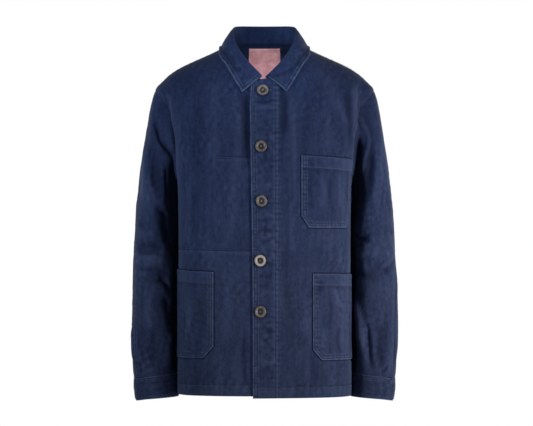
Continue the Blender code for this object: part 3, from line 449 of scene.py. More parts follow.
def tabulate_torso():
    """Half sections of the torso at every millimetre of height, by share of the way round."""
    known = column(TORSO, TORSO_COLUMNS, "height")[::-1]
    size = {
        name: smooth(known, column(TORSO, TORSO_COLUMNS, name)[::-1], HEIGHTS)[:, None]
        for name in TORSO_COLUMNS[1:]
    }
    angle = np.linspace(0, math.pi, 1441)[None]
    middle, half = (size["front"] + size["back"]) / 2, (size["back"] - size["front"]) / 2
    power = 2 / np.where(angle <= math.pi / 2, size["square_front"], size["square_back"])
    x = size["half_width"] * np.abs(np.sin(angle)) ** power
    y = middle - half * np.sign(np.cos(angle)) * np.abs(np.cos(angle)) ** power
    x = x - size["press"] * bell(y - middle, PRESS_REACH)
    x[:, 0] = x[:, -1] = 0
    step = np.hypot(np.diff(x, axis=1), np.diff(y, axis=1))
    along = np.concatenate([np.zeros((len(HEIGHTS), 1)), np.cumsum(step, axis=1)], axis=1)
    girth = along[:, -1]
    table_x, table_y = np.empty((2, len(HEIGHTS), len(SHARES)))
    for row in range(len(HEIGHTS)):
        table_x[row] = np.interp(SHARES * girth[row], along[row], x[row])
        table_y[row] = np.interp(SHARES * girth[row], along[row], y[row])
    return table_x, table_y, girth, along[:, 720], middle[:, 0]


TABLE_X, TABLE_Y, GIRTH, SIDE_AT, MIDDLE = tabulate_torso()


def at_height(values, height):
    return np.interp(height, HEIGHTS, values)


def look_up(table, height, share):
    row = np.clip(height - HEIGHTS[0], 0, len(HEIGHTS) - 1.001)
    col = np.clip(share, 0, 1) * (len(SHARES) - 1.001)
    row_0, col_0 = row.astype(int), col.astype(int)
    up, over = row - row_0, col - col_0
    low = table[row_0, col_0] * (1 - over) + table[row_0, col_0 + 1] * over
    high = table[row_0 + 1, col_0] * (1 - over) + table[row_0 + 1, col_0 + 1] * over
    return low * (1 - up) + high * up


def torso_base(side, distance, height):
    """Points of the bare torso at distances round from the centre front."""
    distance, height = np.broadcast_arrays(np.asarray(distance, float), np.asarray(height, float))
    share = distance / at_height(GIRTH, height)
    folded = np.where(share < 0, -share, np.where(share > 1, 2 - share, share))
    sign = side * np.where((share < 0) | (share > 1), -1, 1)
    x, y = look_up(TABLE_X, height, folded), look_up(TABLE_Y, height, folded)
    return np.stack([sign * x, y, height], axis=-1)


def torso_out(side, distance, height):
    step = 2.0
    round_it = torso_base(side, distance + step, height) - torso_base(side, distance - step, height)
    up_it = torso_base(side, distance, height + step) - torso_base(side, distance, height - step)
    return unit(np.cross(round_it, up_it)) * side


def path_distance(path, along, height):
    """Signed distance from a path of places, and the share of its length where the nearest point is."""
    path = np.asarray(path, float)
    lengths = lengths_of(path)
    best = np.full(along.shape, 1e9)
    signed, share = np.zeros_like(best), np.zeros_like(best)
    for number, (start, end) in enumerate(zip(path, path[1:])):
        run = end - start
        size = float(np.hypot(*run))
        a, h = along - start[0], height - start[1]
        part = np.clip((a * run[0] + h * run[1]) / size**2, 0, 1)
        away_a, away_h = a - part * run[0], h - part * run[1]
        distance = np.hypot(away_a, away_h)
        nearer = distance < best
        best = np.where(nearer, distance, best)
        side = np.sign(run[0] * away_h - run[1] * away_a)
        signed = np.where(nearer, distance * side, signed)
        share = np.where(nearer, (lengths[number] + part * size) / lengths[-1], share)
    return signed, share


def creases(rows, side, along, height):
    """Relief of the creases in a table."""
    rise = np.zeros(np.broadcast(along, height).shape)
    for on_side, path, half_width, tall, *lean in rows:
        if on_side not in (side, BOTH):
            continue
        signed, share = path_distance(path, along, height)
        q = signed / half_width
        ends = ease(np.minimum(share, 1 - share) * 3 + 0.15)
        rise += tall * ends * np.exp(-(q**2)) * (1 + 1.5 * sum(lean) * q)
    return rise


def as_creases(folds):
    """Folds from one place to another, that the solids have too, as rows of creases."""
    return [(side, ((a, b), (c, d)), *rest) for side, a, b, c, d, *rest in folds]


def waves(seed, along, height, sizes, count, shortest, longest):
    """Waves in all directions on top of each other, for each (wavelength, height) in sizes."""
    rng = np.random.default_rng(seed)
    total = np.zeros(np.broadcast(along, height).shape)
    for wavelength, tall in sizes:
        for _ in range(count):
            turn, phase = rng.uniform(0, math.pi), rng.uniform(0, math.tau)
            length = wavelength * rng.uniform(shortest, longest)
            across = along * math.cos(turn) + height * math.sin(turn)
            total += tall * np.sin(across * math.tau / length + phase)
    return total


def unevenness(seed, along, height, amount):
    """A soft unevenness of hand-cut cloth, the same on every run."""
    sizes = ((95, 0.55), (60, 0.4), (38, 0.26), (24, 0.15), (15, 0.08))
    return waves(seed, along, height, sizes, 5, 0.8, 1.25) * amount / 2.2


def crumple(seed, along, height, amount):
    """Small wrinkles in all directions, stronger in patches."""
    total = waves(seed, along, height, ((19, 1.0), (14, 0.9), (10.5, 0.7)), 6, 0.85, 1.2)
    patches = 0.55 + 0.45 * np.sin(along / 27 + seed) * np.sin(height / 31 + 2 * seed)
    return total * patches * amount / 3.2


def share_at(x, height):
    """The share of the way round at which the front of the bare torso is x from the middle."""
    ring = look_up(TABLE_X, np.full(len(FRONT_SHARES), float(height)), FRONT_SHARES)
    peak = int(np.argmax(ring)) + 1
    return np.interp(x, ring[:peak], FRONT_SHARES[:peak])


def seen_from_front(rows):
    """Creases whose places are (x, height) turned into (distance round the torso, height)."""
    turned = []
    for side, path, *rest in rows:
        places = []
        for x, height in path:
            distance = share_at(abs(x), height) * float(at_height(GIRTH, height))
            places.append((math.copysign(distance, x), height))
        turned.append((side, tuple(places), *rest))
    return turned


FRONT_CREASES = seen_from_front(FRONT_CREASES)
POCKET_CREASES = seen_from_front(POCKET_CREASES)


def torso_relief(side, distance, height):
    relief = creases(as_creases(TORSO_FOLDS), side, distance, height)
    relief = relief + creases(FRONT_CREASES, side, distance, height)
    relief = relief + creases(BACK_CREASES, side, distance, height)
    by_sleeve = bell(distance - at_height(SIDE_AT, height), 60)
    return relief + unevenness(3, distance * side, height, 0.45) * (1 - 0.8 * by_sleeve)


def torso_surface(side, distance, height, lift=0.0):
    """The middle of the torso's cloth, with its folds and laps, moved out by lift."""
    distance, height = np.broadcast_arrays(np.asarray(distance, float), np.asarray(height, float))
    rise = torso_relief(side, distance, height)
    girth = at_height(GIRTH, height)
    other = torso_relief(-side, 2 * girth - distance, height)
    mix = ease((girth - distance) / 30 + 0.5)
    rise = rise * mix + other * (1 - mix)
    rise = rise + side * LAP_SHIFT * ease((LAP_SHIFT_FROM - distance) / (LAP_SHIFT_FROM - LAP_SHIFT_FULL))
    return torso_base(side, distance, height) + torso_out(side, distance, height) * (rise + lift)[..., None]


# Lines of the pattern


def armhole_places(angle, behind):
    """Places on the armhole for angles from -90 at the underarm to 90 at the shoulder, in degrees."""
    angle = np.radians(np.atleast_1d(angle))
    middle_height = (SHOULDER_HEIGHT + UNDERARM_HEIGHT) / 2
    height = middle_height + (SHOULDER_HEIGHT - UNDERARM_HEIGHT) / 2 * np.sin(angle)
    depth = ARMHOLE_HALF_DEPTH * np.cos(angle) * (1 if behind else -1)
    wanted = at_height(MIDDLE, height) + depth
    distance = []
    for h, y in zip(height, wanted):
        ring = look_up(TABLE_Y, np.full(len(SHARES), h), SHARES)
        distance.append(float(np.interp(y, ring, SHARES) * at_height(GIRTH, h)))
    return np.stack([distance, height], axis=1)


def outer_line(side, behind):
    """Side seam and armhole, from the hem to the shoulder."""
    steps = round((UNDERARM_HEIGHT - SIDE_HEM[side]) / SPACING)
    heights = np.linspace(SIDE_HEM[side], UNDERARM_HEIGHT, steps + 1)
    seam = np.stack([at_height(SIDE_AT, heights), heights], axis=1)
    arm = armhole_places(np.linspace(-90, 90, 181), behind)
    arm = evened(arm, torso_base(side, arm[:, 0], arm[:, 1]))
    return np.concatenate([seam[:-1], arm]), len(seam) - 1


def shoulder_line():
    heights = np.linspace(NECK_HEIGHT, SHOULDER_HEIGHT, 200)
    line = np.stack([at_height(SIDE_AT, heights), heights], axis=1)
    return evened(line, torso_base(LEFT, line[:, 0], line[:, 1]))


def front_neck_line(side, count=None):
    known = column(TORSO, TORSO_COLUMNS, "height")[::-1]
    half_width = float(smooth(known, column(TORSO, TORSO_COLUMNS, "half_width")[::-1], NECK_HEIGHT))
    angles = np.linspace(math.asin(COLLAR_END[side] / half_width), math.pi / 2, 240)
    line = []
    for angle in angles:
        height = NECK_HEIGHT - FRONT_NECK_DROP * math.cos(angle)
        share = share_at(half_width * math.sin(angle), height)
        line.append((share * at_height(GIRTH, height), height))
    line[-1] = (float(at_height(SIDE_AT, NECK_HEIGHT)), NECK_HEIGHT)
    line = np.array(line)
    return evened(line, torso_base(side, line[:, 0], line[:, 1]), count)


def back_neck_line(count=None):
    shares = np.linspace(0, 1, 60)
    height = BACK_NECK_HEIGHT + (NECK_HEIGHT - BACK_NECK_HEIGHT) * (1 - np.cos(shares * math.pi / 2))
    back = at_height(GIRTH, height)
    line = np.stack([back + (at_height(SIDE_AT, height) - back) * shares, height], axis=1)
    return evened(line, torso_base(LEFT, line[:, 0], line[:, 1]), count)


def patch(bottom, top, inner, outer):
    """A grid of places between two sides, whose last rows take the shape of the two ends."""
    up = np.linspace(0, 1, len(inner))[:, None, None]
    across = np.linspace(0, 1, len(bottom))[None, :, None]
    grid = (1 - across) * inner[:, None] + across * outer[:, None]
    bottom_bend, top_bend = bottom - grid[0], top - grid[-1]
    return grid + (1 - up) ** END_FADE * bottom_bend + up**END_FADE * top_bend


def rise_with(outer, low, high):
    even = np.linspace(0, 1, len(outer))
    like_outer = (outer[:, 1] - outer[0, 1]) / (outer[-1, 1] - outer[0, 1])
    return low + (high - low) * (even + like_outer) / 2


def refined(count):
    """Indices of a grid's lines with further ones by both its edges."""
    inside = list(range(1, count - 1))
    last = count - 1
    return np.array([0, *EDGE_LINES, *inside, *(last - share for share in EDGE_LINES[::-1]), last], float)


def refine(grid):
    """The grid with further lines by its edges."""
    rows, cols = refined(grid.shape[0]), refined(grid.shape[1])
    grid = np.stack([resample(grid[:, c], rows) for c in range(grid.shape[1])], axis=1)
    return np.stack([resample(grid[r], cols) for r in range(grid.shape[0])], axis=0)


# Cloth


class Cloth:
    """A grid of points in the middle of a piece of cloth, with what its shader and stitches need."""

    def __init__(self, name, points, faces_out, wall=WALL):
        self.name = name
        self.points = np.asarray(points, float)
        self.wall = wall
        self.faces_out = faces_out
        self.settle()
        self.far = np.full(self.points.shape[:2], FAR_AWAY)  # from a stitched edge
        # how much lighter or darker the cloth is painted for its relief: lighter on crests, as wear and
        # painted highlight, darker in hollows, as painted shade
        self.relief_wear_and_painted_light = np.zeros(self.points.shape[:2])  # 1 on crests of creases and puckers, -1 between them
        self.free = np.ones(self.points.shape[:2])  # 1 by a free edge, less by one sewn to another piece
        # distances from inner rows of stitches and from patches
        self.rows = {key: self.far.copy() for key in ("row_a", "row_b", "row_c", "patch")}
        self.threads = []

    def settle(self):
        down, across = np.gradient(self.points, axis=0), np.gradient(self.points, axis=1)
        self.out = unit(np.cross(down, across)) * self.faces_out

    def edge(self, which):
        points = self.points
        ends = {"first_row": points[0], "last_row": points[-1]}
        return {**ends, "first_col": points[:, 0], "last_col": points[:, -1]}[which]

    def distance(self, line):
        """Distance of every point of the grid from a line in space, and the length along the line there."""
        line = evened(np.asarray(line), step=1.5)
        lengths = lengths_of(line)
        along = unit(np.gradient(line, axis=0))
        flat = self.points.reshape(-1, 3)
        best, run = np.empty(len(flat)), np.empty(len(flat))
        for start in range(0, len(flat), 4000):
            part = flat[start : start + 4000]
            away = part[:, None] - line[None]
            square = (away**2).sum(axis=2)
            near = square.argmin(axis=1)
            chosen = away[np.arange(len(part)), near]
            over = (chosen * along[near]).sum(axis=1)
            inside = (near > 0) & (near < len(line) - 1)
            best[start : start + 4000] = np.sqrt(np.maximum((chosen**2).sum(axis=1) - inside * over**2, 0))
            run[start : start + 4000] = lengths[near] + over
        shape = self.points.shape[:2]
        return best.reshape(shape), run.reshape(shape)

    def all_edges(self):
        sides = ("first_row", "last_row", "first_col", "last_col")
        return np.minimum.reduce([self.distance(self.edge(side))[0] for side in sides])

    def pucker(self, line, tall=0.35, reach=14, seed=1, period=11, free=1.0):
        """Marks a stitched edge and lets the cloth pucker along it."""
        far, run = self.distance(line)
        self.free = np.where(far < self.far, free, self.free)
        self.far = np.minimum(self.far, far)
        rng = np.random.default_rng(seed)
        knots = np.arange(-3 * period, run.max() + 3 * period, period)
        phase = np.interp(run, knots, np.cumsum(rng.uniform(0.6, 1.4, len(knots))) * math.tau)
        height = np.interp(run, knots, rng.uniform(0.25, 1.0, len(knots)))
        window = ease((far - 0.8) / 3) * ease((reach - far) / (0.7 * reach))
        self.wrinkle(tall * height * window * np.sin(phase))

    def wrinkle(self, rise, wear_and_painted_light=0.35):
        """Moves the cloth out by a small relief; its crests are painted lighter, as wear and painted
        highlight, and its hollows darker, as painted shade.
        """
        self.points = self.points + self.out * rise[..., None]
        self.relief_wear_and_painted_light = self.relief_wear_and_painted_light + rise / wear_and_painted_light
        self.settle()

    def sew_along(self, line, *insets):
        """Rows of stitches that keep their distance from a line."""
        far, run = self.distance(line)
        values = np.concatenate([self.points, self.out, run[..., None]], axis=2)
        for inset in insets:
            level = far - inset
            found = []
            for low, high, first, second in (
                (level[:-1], level[1:], values[:-1], values[1:]),
                (level[:, :-1], level[:, 1:], values[:, :-1], values[:, 1:]),
            ):
                crossed = low * high < 0
                part = (low[crossed] / (low[crossed] - high[crossed]))[:, None]
                found.append(first[crossed] * (1 - part) + second[crossed] * part)
            found = np.concatenate(found)
            found = found[np.argsort(found[:, 6])]
            kept = np.concatenate(([True], np.diff(np.floor(found[:, 6] / 1.6)) > 0))
            self.sew(found[kept, :3], found[kept, 3:6])

    def sew(self, points, out):
        """A row of stitches through points on the cloth."""
        if len(points) < 3:
            return
        breaks = np.flatnonzero(np.linalg.norm(np.diff(points, axis=0), axis=1) > 14) + 1
        for part, ways in zip(np.split(points, breaks), np.split(out, breaks)):
            if len(part) > 2:
                self.threads.append((part, ways))


def make_mesh(name, points, faces, material, attributes=None, smooth_shade=True):
    """An object from arrays of points in millimetres and of faces."""
    data = bpy.data.meshes.new(name)
    points = np.asarray(points, float) * MM
    data.vertices.add(len(points))
    data.vertices.foreach_set("co", points.ravel())
    if isinstance(faces, np.ndarray):
        sizes, corners = np.full(len(faces), faces.shape[1]), faces.ravel()
    else:
        sizes = np.array([len(face) for face in faces])
        corners = np.concatenate([np.asarray(face) for face in faces])
    starts = np.concatenate(([0], np.cumsum(sizes)[:-1]))
    data.loops.add(len(corners))
    data.loops.foreach_set("vertex_index", corners.astype(np.int32))
    data.polygons.add(len(sizes))
    data.polygons.foreach_set("loop_start", starts.astype(np.int32))
    data.polygons.foreach_set("loop_total", sizes.astype(np.int32))
    data.update(calc_edges=True)
    data.validate()
    for key, values in (attributes or {}).items():
        attribute = data.attributes.new(key, "FLOAT", "POINT")
        attribute.data.foreach_set("value", np.asarray(values, np.float32).ravel())
    data.materials.append(material)
    if smooth_shade:
        data.shade_smooth()
    thing = bpy.data.objects.new(name, data)
    bpy.context.scene.collection.objects.link(thing)
    return thing


def shell(cloth, material, lift=None, round_over=1.7):
    """The closed thin shell of a cloth, rounded at its edges."""
    points, out = cloth.points, cloth.out
    rows, cols = points.shape[:2]
    edge = cloth.all_edges()
    share = np.clip(edge / round_over, 0, 1)
    half = cloth.wall / 2 * (0.3 + 0.7 * np.sqrt(1 - (1 - share) ** 2))
    raised = np.zeros((rows, cols)) if lift is None else lift
    top = points + out * (half + raised)[..., None]
    under = points - out * half[..., None]
    number = np.arange(rows * cols).reshape(rows, cols)
    corners = (number[:-1, :-1], number[1:, :-1], number[1:, 1:], number[:-1, 1:])
    quads = np.stack(corners, axis=-1).reshape(-1, 4)
    if cloth.faces_out < 0:
        quads = quads[:, ::-1]
    rim = list(number[0]) + list(number[1:, -1]) + list(number[-1, -2::-1]) + list(number[-2:0:-1, 0])
    rim = np.array(rim)
    after = np.roll(rim, -1)
    size = rows * cols
    rim_faces = np.stack([rim, after, after + size, rim + size], axis=1)
    if cloth.faces_out < 0:
        rim_faces = rim_faces[:, ::-1]
    faces = np.concatenate([quads, quads[:, ::-1] + size, rim_faces])
    layers = {"far": cloth.far, "relief_wear_and_painted_light": np.clip(cloth.relief_wear_and_painted_light, -1.2, 1.2), "free": cloth.free, **cloth.rows}
    attributes = {key: np.tile(values.ravel(), 2) for key, values in layers.items()}
    both = np.concatenate([top.reshape(-1, 3), under.reshape(-1, 3)])
    return make_mesh(cloth.name + "_cloth", both, faces, material, attributes)


def make_stitches(name, threads, lift, material):
    """Every stitch of a piece as a small lens of thread, joined to one mesh."""
    all_points, all_faces, used = [], [], 0
    for points, out in threads:
        lengths = lengths_of(points)
        count = int(lengths[-1] / STITCH)
        if count < 1:
            continue
        starts = (np.arange(count) + 0.15) * STITCH
        at = starts[:, None] + np.array([0, 0.3, 0.7, 1.0]) * STITCH_LONG
        place = np.stack([np.interp(at, lengths, values) for values in points.T], axis=-1)
        up = unit(np.stack([np.interp(at, lengths, values) for values in out.T], axis=-1))
        across = unit(np.cross(up, (place[:, -1] - place[:, 0])[:, None]))
        full = np.array([0.35, 1.0, 1.0, 0.35])[None, :, None, None]
        sides = np.array(STITCH_SECTION)
        wide, tall = (sides[:, which][None, None, :, None] for which in (0, 1))
        ring = (
            place[:, :, None] + up[:, :, None] * (lift - 0.12 + tall * STITCH_TALL * full)
            + across[:, :, None] * wide * STITCH_WIDE * full
        )
        all_points.append(ring.reshape(-1, 3))
        base = used + np.arange(count)[:, None, None] * LENS_POINTS
        all_faces.append((base + LENS_FACES).reshape(-1, 4))
        used += count * LENS_POINTS
    points, faces = np.concatenate(all_points), np.concatenate(all_faces)
    thing = make_mesh(name, points, faces, material, smooth_shade=False)
    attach(thing, "root")
    return thing


def sew_places(cloth, side, places, lift=0.0):
    """A row of stitches through places of the torso."""
    places = evened(np.asarray(places, float), step=1.6)
    points = torso_surface(side, places[:, 0], places[:, 1], lift)
    cloth.sew(points, torso_out(side, places[:, 0], places[:, 1]))


# Panels of the body


def front_grid(side):
    """Places of a front: rows from the hem up, columns from its free edge to the side."""
    outer, _ = outer_line(side, False)
    neck = front_neck_line(side)
    lap = np.array(LAP_LEFT if side == LEFT else LAP_RIGHT, float)
    heights = rise_with(outer, lap[0, 0], lap[-1, 0])
    inner = np.stack([-np.interp(heights, lap[:, 0], lap[:, 1]), heights], axis=1)
    start = np.array([inner[-1], neck[0]])
    lapped = evened(start)[:-1]
    top = np.concatenate([lapped, neck, shoulder_line()[1:]])
    shares = (top[:, 0] - top[0, 0]) / (top[-1, 0] - top[0, 0])
    shares = (shares + np.linspace(0, 1, len(top))) / 2
    bottom = inner[0] + shares[:, None] * (outer[0] - inner[0])
    return patch(bottom, top, inner, outer)


def pocket_outline(pocket):
    """The corners of a pocket, in distances and heights."""
    near, far, bottom = pocket["near"], pocket["far"], pocket["bottom"]
    low = bottom + pocket["cut_up"]
    return np.array([
        (near, pocket["top_near"]), (near, low), (near + pocket["cut_across"], bottom),
        (far - pocket["cut_across"], bottom), (far, low), (far, pocket["top_far"]),
        (near, pocket["top_near"]),
    ])


def outside_of(pocket, along, height):
    """Distance outside a pocket's outline, negative inside it."""
    signed, _ = path_distance(pocket_outline(pocket), along, height)
    inside = (along > pocket["near"]) & (along < pocket["far"]) & (height > pocket["bottom"])
    top = np.interp(along, (pocket["near"], pocket["far"]), (pocket["top_near"], pocket["top_far"]))
    inside &= height < top
    for corner, way in ((pocket["near"], 1), (pocket["far"], -1)):
        across = (along - corner) * way / pocket["cut_across"]
        inside &= across + (height - pocket["bottom"]) / pocket["cut_up"] > 1
    return np.abs(signed) * np.where(inside, -1, 1)


def wave_hem(cloth, from_hem, along):
    """Small waves in the cloth along the stitches of the hem."""
    tall = 0.3 * bell(from_hem - HEM_STITCHES, 9)
    cloth.wrinkle(tall * np.sin(along * math.tau / 13 + np.sin(along / 17) * 2), 0.8)


def make_front(side):
    places = refine(front_grid(side))
    along, height = places[..., 0], places[..., 1]
    points = torso_surface(side, along, height)
    cloth = Cloth(f"front_{WORD[side]}", points, -side)
    cloth.places = places
    seam_rows = round((UNDERARM_HEIGHT - SIDE_HEM[side]) / SPACING)
    armhole = cloth.edge("last_col")[seam_rows:]
    shoulder = cloth.edge("last_row")[-len(shoulder_line()) - 2 :]
    hem = cloth.edge("first_row")
    lap = cloth.edge("first_col")
    from_hem = cloth.distance(hem)[0]
    cloth.pucker(armhole, 0.3, seed=21 + side, free=0.25)
    cloth.pucker(shoulder, 0.25, seed=31 + side, free=0.25)
    cloth.rows["row_a"] = from_hem - HEM_STITCHES
    # The hem band is lighter; crease crests are painted lighter and their troughs darker, as painted light
    # and shade.
    lighter_hem_band = 0.45 * ease((HEM_STITCHES - 1 - from_hem) / 3)
    cloth.relief_wear_and_painted_light = creases(FRONT_CREASES, side, along, height) / 1.6 + lighter_hem_band
    wave_hem(cloth, from_hem, along)
    cloth.wrinkle(crumple(13 + side, along, height, 0.16) * ease(cloth.all_edges() / 6), 0.5)
    # Distance outside each pocket's outline, for the painted shadow line round it.
    for row in POCKETS:
        if row[1] == side:
            outside = outside_of(dict(zip(POCKET_COLUMNS, row)), along, height)
            nearer = np.abs(outside) < np.abs(cloth.rows["patch"])
            cloth.rows["patch"] = np.where(nearer, outside, cloth.rows["patch"])
    if side == LEFT:
        cloth.pucker(lap, 0.45, 15, seed=5, period=7)
        cloth.rows["row_b"], cloth.rows["row_c"] = (along - inset for inset in FACING_STITCHES)
        near = bell(along - 24, 7)
        cloth.wrinkle(near * (0.3 + 0.3 * np.sin(height * math.tau / 10 + 2 * np.sin(height / 23))))
        in_band = ease((30 - along) / 6) * (0.55 + 0.45 * ease((-250 - height) / 150))
        cloth.wrinkle(crumple(7, along, height, 0.28) * in_band * ease(cloth.all_edges() / 4), 0.42)
        # A painted shadow ring round each button.
        for place, button_height in BUTTONS:
            away = np.hypot(along - place, height - button_height + 1.5)
            cloth.relief_wear_and_painted_light = cloth.relief_wear_and_painted_light - 1.2 * bell(away - 11.5, 2.4)
        # A painted shade beside the facing, in its upper part.
        cloth.relief_wear_and_painted_light = cloth.relief_wear_and_painted_light - 0.7 * (bell(along - 34, 5) * ease((height + 320) / 160))
    else:
        cloth.rows["row_b"] = height - (POCKET_BAG_HEIGHT + (along - 90) * POCKET_BAG_SLOPE)
        upper = height - (POCKET_BAG_TOP + 2)
        for line, end in ((cloth.rows["row_b"], 230), (upper, 104)):
            shown = ease((along - 24) / 6) * ease((end - along) / 10)
            cloth.wrinkle(shown * 0.45 * (bell(line + 4, 3) - bell(line, 2.6)), 0.6)
    cloth.settle()
    cloth.sew_along(armhole, *TWIN_ROWS)
    cloth.sew_along(shoulder, EDGE_ROW)
    cloth.sew_along(hem, HEM_STITCHES)
    if side == LEFT:
        cloth.sew_along(lap, *TWIN_ROWS)
        top = float(height[-1].min())
        for inset in FACING_STITCHES:
            sew_places(cloth, side, ((inset, float(height[0, 0]) + 4), (inset, top - 4)))
        for _, slit in BUTTONS:
            for place in np.arange(-8.0, 14.0, 0.8):
                for way in (LEFT, RIGHT):
                    start = slit - 0.5 * way
                    places = np.array([[place, start + far * way] for far in (0, 1.8, 3.4)])
                    cloth.sew(torso_surface(side, *places.T), torso_out(side, *places.T))
    else:
        sew_places(cloth, side, ((34, POCKET_BAG_HEIGHT), (220, POCKET_BAG_HEIGHT + 4)))
        sew_places(cloth, side, ((34, POCKET_BAG_TOP), (100, POCKET_BAG_TOP + 3)))
    return cloth


def half_back(side):
    outer, _ = outer_line(side, True)
    top = np.concatenate([back_neck_line(), shoulder_line()[1:]])
    heights = rise_with(outer, BACK_HEM, BACK_NECK_HEIGHT)
    inner = np.stack([at_height(GIRTH, heights), heights], axis=1)
    shares = np.linspace(0, 1, len(top))
    bottom = inner[0] + shares[:, None] * (outer[0] - inner[0])
    lines = []
    for line in (bottom, top, inner, outer):
        from_back = line.copy()
        from_back[:, 0] = at_height(GIRTH, line[:, 1]) - line[:, 0]
        lines.append(from_back)
    return patch(*lines)  # distances from the centre back


def make_back():
    halves = {side: half_back(side) for side in (LEFT, RIGHT)}
    middle = (halves[LEFT][:, :1] + halves[RIGHT][:, :1]) / 2
    whole = np.concatenate([halves[RIGHT][:, :0:-1] * [-1, 1], middle, halves[LEFT][:, 1:]], axis=1)
    whole = refine(whole)
    from_back, height = whole[..., 0], whole[..., 1]
    points = torso_surface(LEFT, at_height(GIRTH, height) - from_back, height)
    cloth = Cloth("back", points, 1)
    cloth.places = whole
    seam_rows = round((UNDERARM_HEIGHT - SIDE_HEM[LEFT]) / SPACING)
    hem = cloth.edge("first_row")
    armholes = [cloth.edge(which)[seam_rows:] for which in ("first_col", "last_col")]
    for number, armhole in enumerate(armholes):
        cloth.pucker(armhole, 0.3, seed=41 + number, free=0.35)
    from_hem = cloth.distance(hem)[0]
    cloth.rows["row_a"] = from_hem - HEM_STITCHES
    wave_hem(cloth, from_hem, from_back)
    # Crease crests are painted lighter and troughs darker: painted light and shade.
    for half in (LEFT, RIGHT):
        here = np.where(from_back * half > 0, 1, 0)
        distance = at_height(GIRTH, height) - np.abs(from_back)
        cloth.relief_wear_and_painted_light = cloth.relief_wear_and_painted_light + here * creases(BACK_CREASES, half, distance, height) / 2.2
    cloth.wrinkle(crumple(15, from_back, height, 0.18) * ease(cloth.all_edges() / 6), 0.5)
    cloth.sew_along(hem, HEM_STITCHES)
    for armhole in armholes:
        cloth.sew_along(armhole, *TWIN_ROWS)
    return cloth


# Sleeves and cuffs


def section_points(table, side, share, angle):
    share, angle = np.broadcast_arrays(np.asarray(share, float), np.asarray(angle, float))
    known = np.linspace(0, 1, len(table))
    size = {name: smooth(known, column(table, SLEEVE_COLUMNS, name), share) for name in SLEEVE_COLUMNS}
    nothing = np.zeros(share.shape)
    outer = np.stack([size["outer"], nothing, size["outer_height"]], axis=-1)
    inner = np.stack([size["inner"], nothing, size["inner_height"]], axis=-1)
    centre = (outer + inner) / 2 + np.stack([nothing, size["middle"], nothing], axis=-1)
    power = 2 / SLEEVE_SQUARE
    forward = np.sign(np.cos(angle)) * np.abs(np.cos(angle)) ** power * size["half_depth"]
    outward = np.sign(np.sin(angle)) * np.abs(np.sin(angle)) ** power
    point = centre - np.stack([nothing, forward, nothing], axis=-1) + (outer - inner) / 2 * outward[..., None]
    return point * np.array([side, 1, 1])


def section_centre(table, side, share):
    return (section_points(table, side, share, 0.0) + section_points(table, side, share, math.pi)) / 2


def armhole_curve(side):
    """The armhole's points at every half degree round it, 0 at the front and 90 at the shoulder."""
    turn = np.arange(-180, 540) / 2.0  # -90 to 269.5
    folded = np.where(turn > 90, 180 - turn, turn)
    in_front = armhole_places(folded[turn <= 90], False)
    behind = armhole_places(folded[turn > 90], True)
    places = np.concatenate([in_front, behind])
    return np.radians(turn), torso_surface(side, places[:, 0], places[:, 1])


ARMHOLES = {side: armhole_curve(side) for side in (LEFT, RIGHT)}


def armhole_points(side, angle):
    turn, curve = ARMHOLES[side]
    wrapped = np.mod(angle + math.pi / 2, math.tau) - math.pi / 2
    turn = np.append(turn, 1.5 * math.pi)
    curve = np.concatenate([curve, curve[:1]])
    return np.stack([np.interp(wrapped, turn, values) for values in curve.T], axis=-1)


def seam_angles(share):
    shares = column(SEAM_TURN, SEAM_TURN_COLUMNS, "share")
    return [
        np.radians(smooth(shares, column(SEAM_TURN, SEAM_TURN_COLUMNS, name), share))
        for name in ("front_seam", "back_seam")
    ]


def round_sleeve(rows):
    """Creases with their angles in degrees turned into distances round the sleeve."""
    return [
        (side, tuple((math.radians(angle) * ROUND_SLEEVE, height) for angle, height in path), *rest)
        for side, path, *rest in rows
    ]


BIG_SLEEVE = round_sleeve(as_creases(SLEEVE_FOLDS))
FINE_SLEEVE = round_sleeve(SLEEVE_CREASES)


def sleeve_surface(side, share, angle):
    share, angle = np.broadcast_arrays(np.asarray(share, float), np.asarray(angle, float))
    point = section_points(SLEEVE, side, share, angle)
    fade = (1 - ease(share / ARMHOLE_FADE))[..., None]
    point = point + fade * (armhole_points(side, angle) - section_points(SLEEVE, side, share * 0, angle))
    turned = np.where(angle > math.pi, angle - math.tau, angle)
    height = point[..., 2]
    rise = np.zeros(share.shape)
    for whole_turn in (0, math.tau):
        along = (turned + whole_turn) * ROUND_SLEEVE
        rise = rise + creases(BIG_SLEEVE, side, along, height) + creases(FINE_SLEEVE, side, along, height)
    fine = rise
    front_seam, _ = seam_angles(share)
    by_seam = ease((angle - front_seam) / 0.35) * ease((front_seam + math.tau - angle) / 0.35)
    near_body = bell(turned + math.pi / 2, 0.5)
    rise = rise + unevenness(5 + side, angle * ROUND_SLEEVE, height, 0.8) * by_seam * (1 - 0.85 * near_body)
    ends = ease(share * FOLDS_FROM_ARMHOLE) * ease((1 - share) * FOLDS_FROM_CUFF)
    return point + unit(point - section_centre(SLEEVE, side, share)) * (rise * ends)[..., None], fine * ends


def by_body(angle):
    """1 on the side of a sleeve that faces the body, falling off round it."""
    return bell(np.mod(angle, math.tau) - 1.5 * math.pi, 0.5)


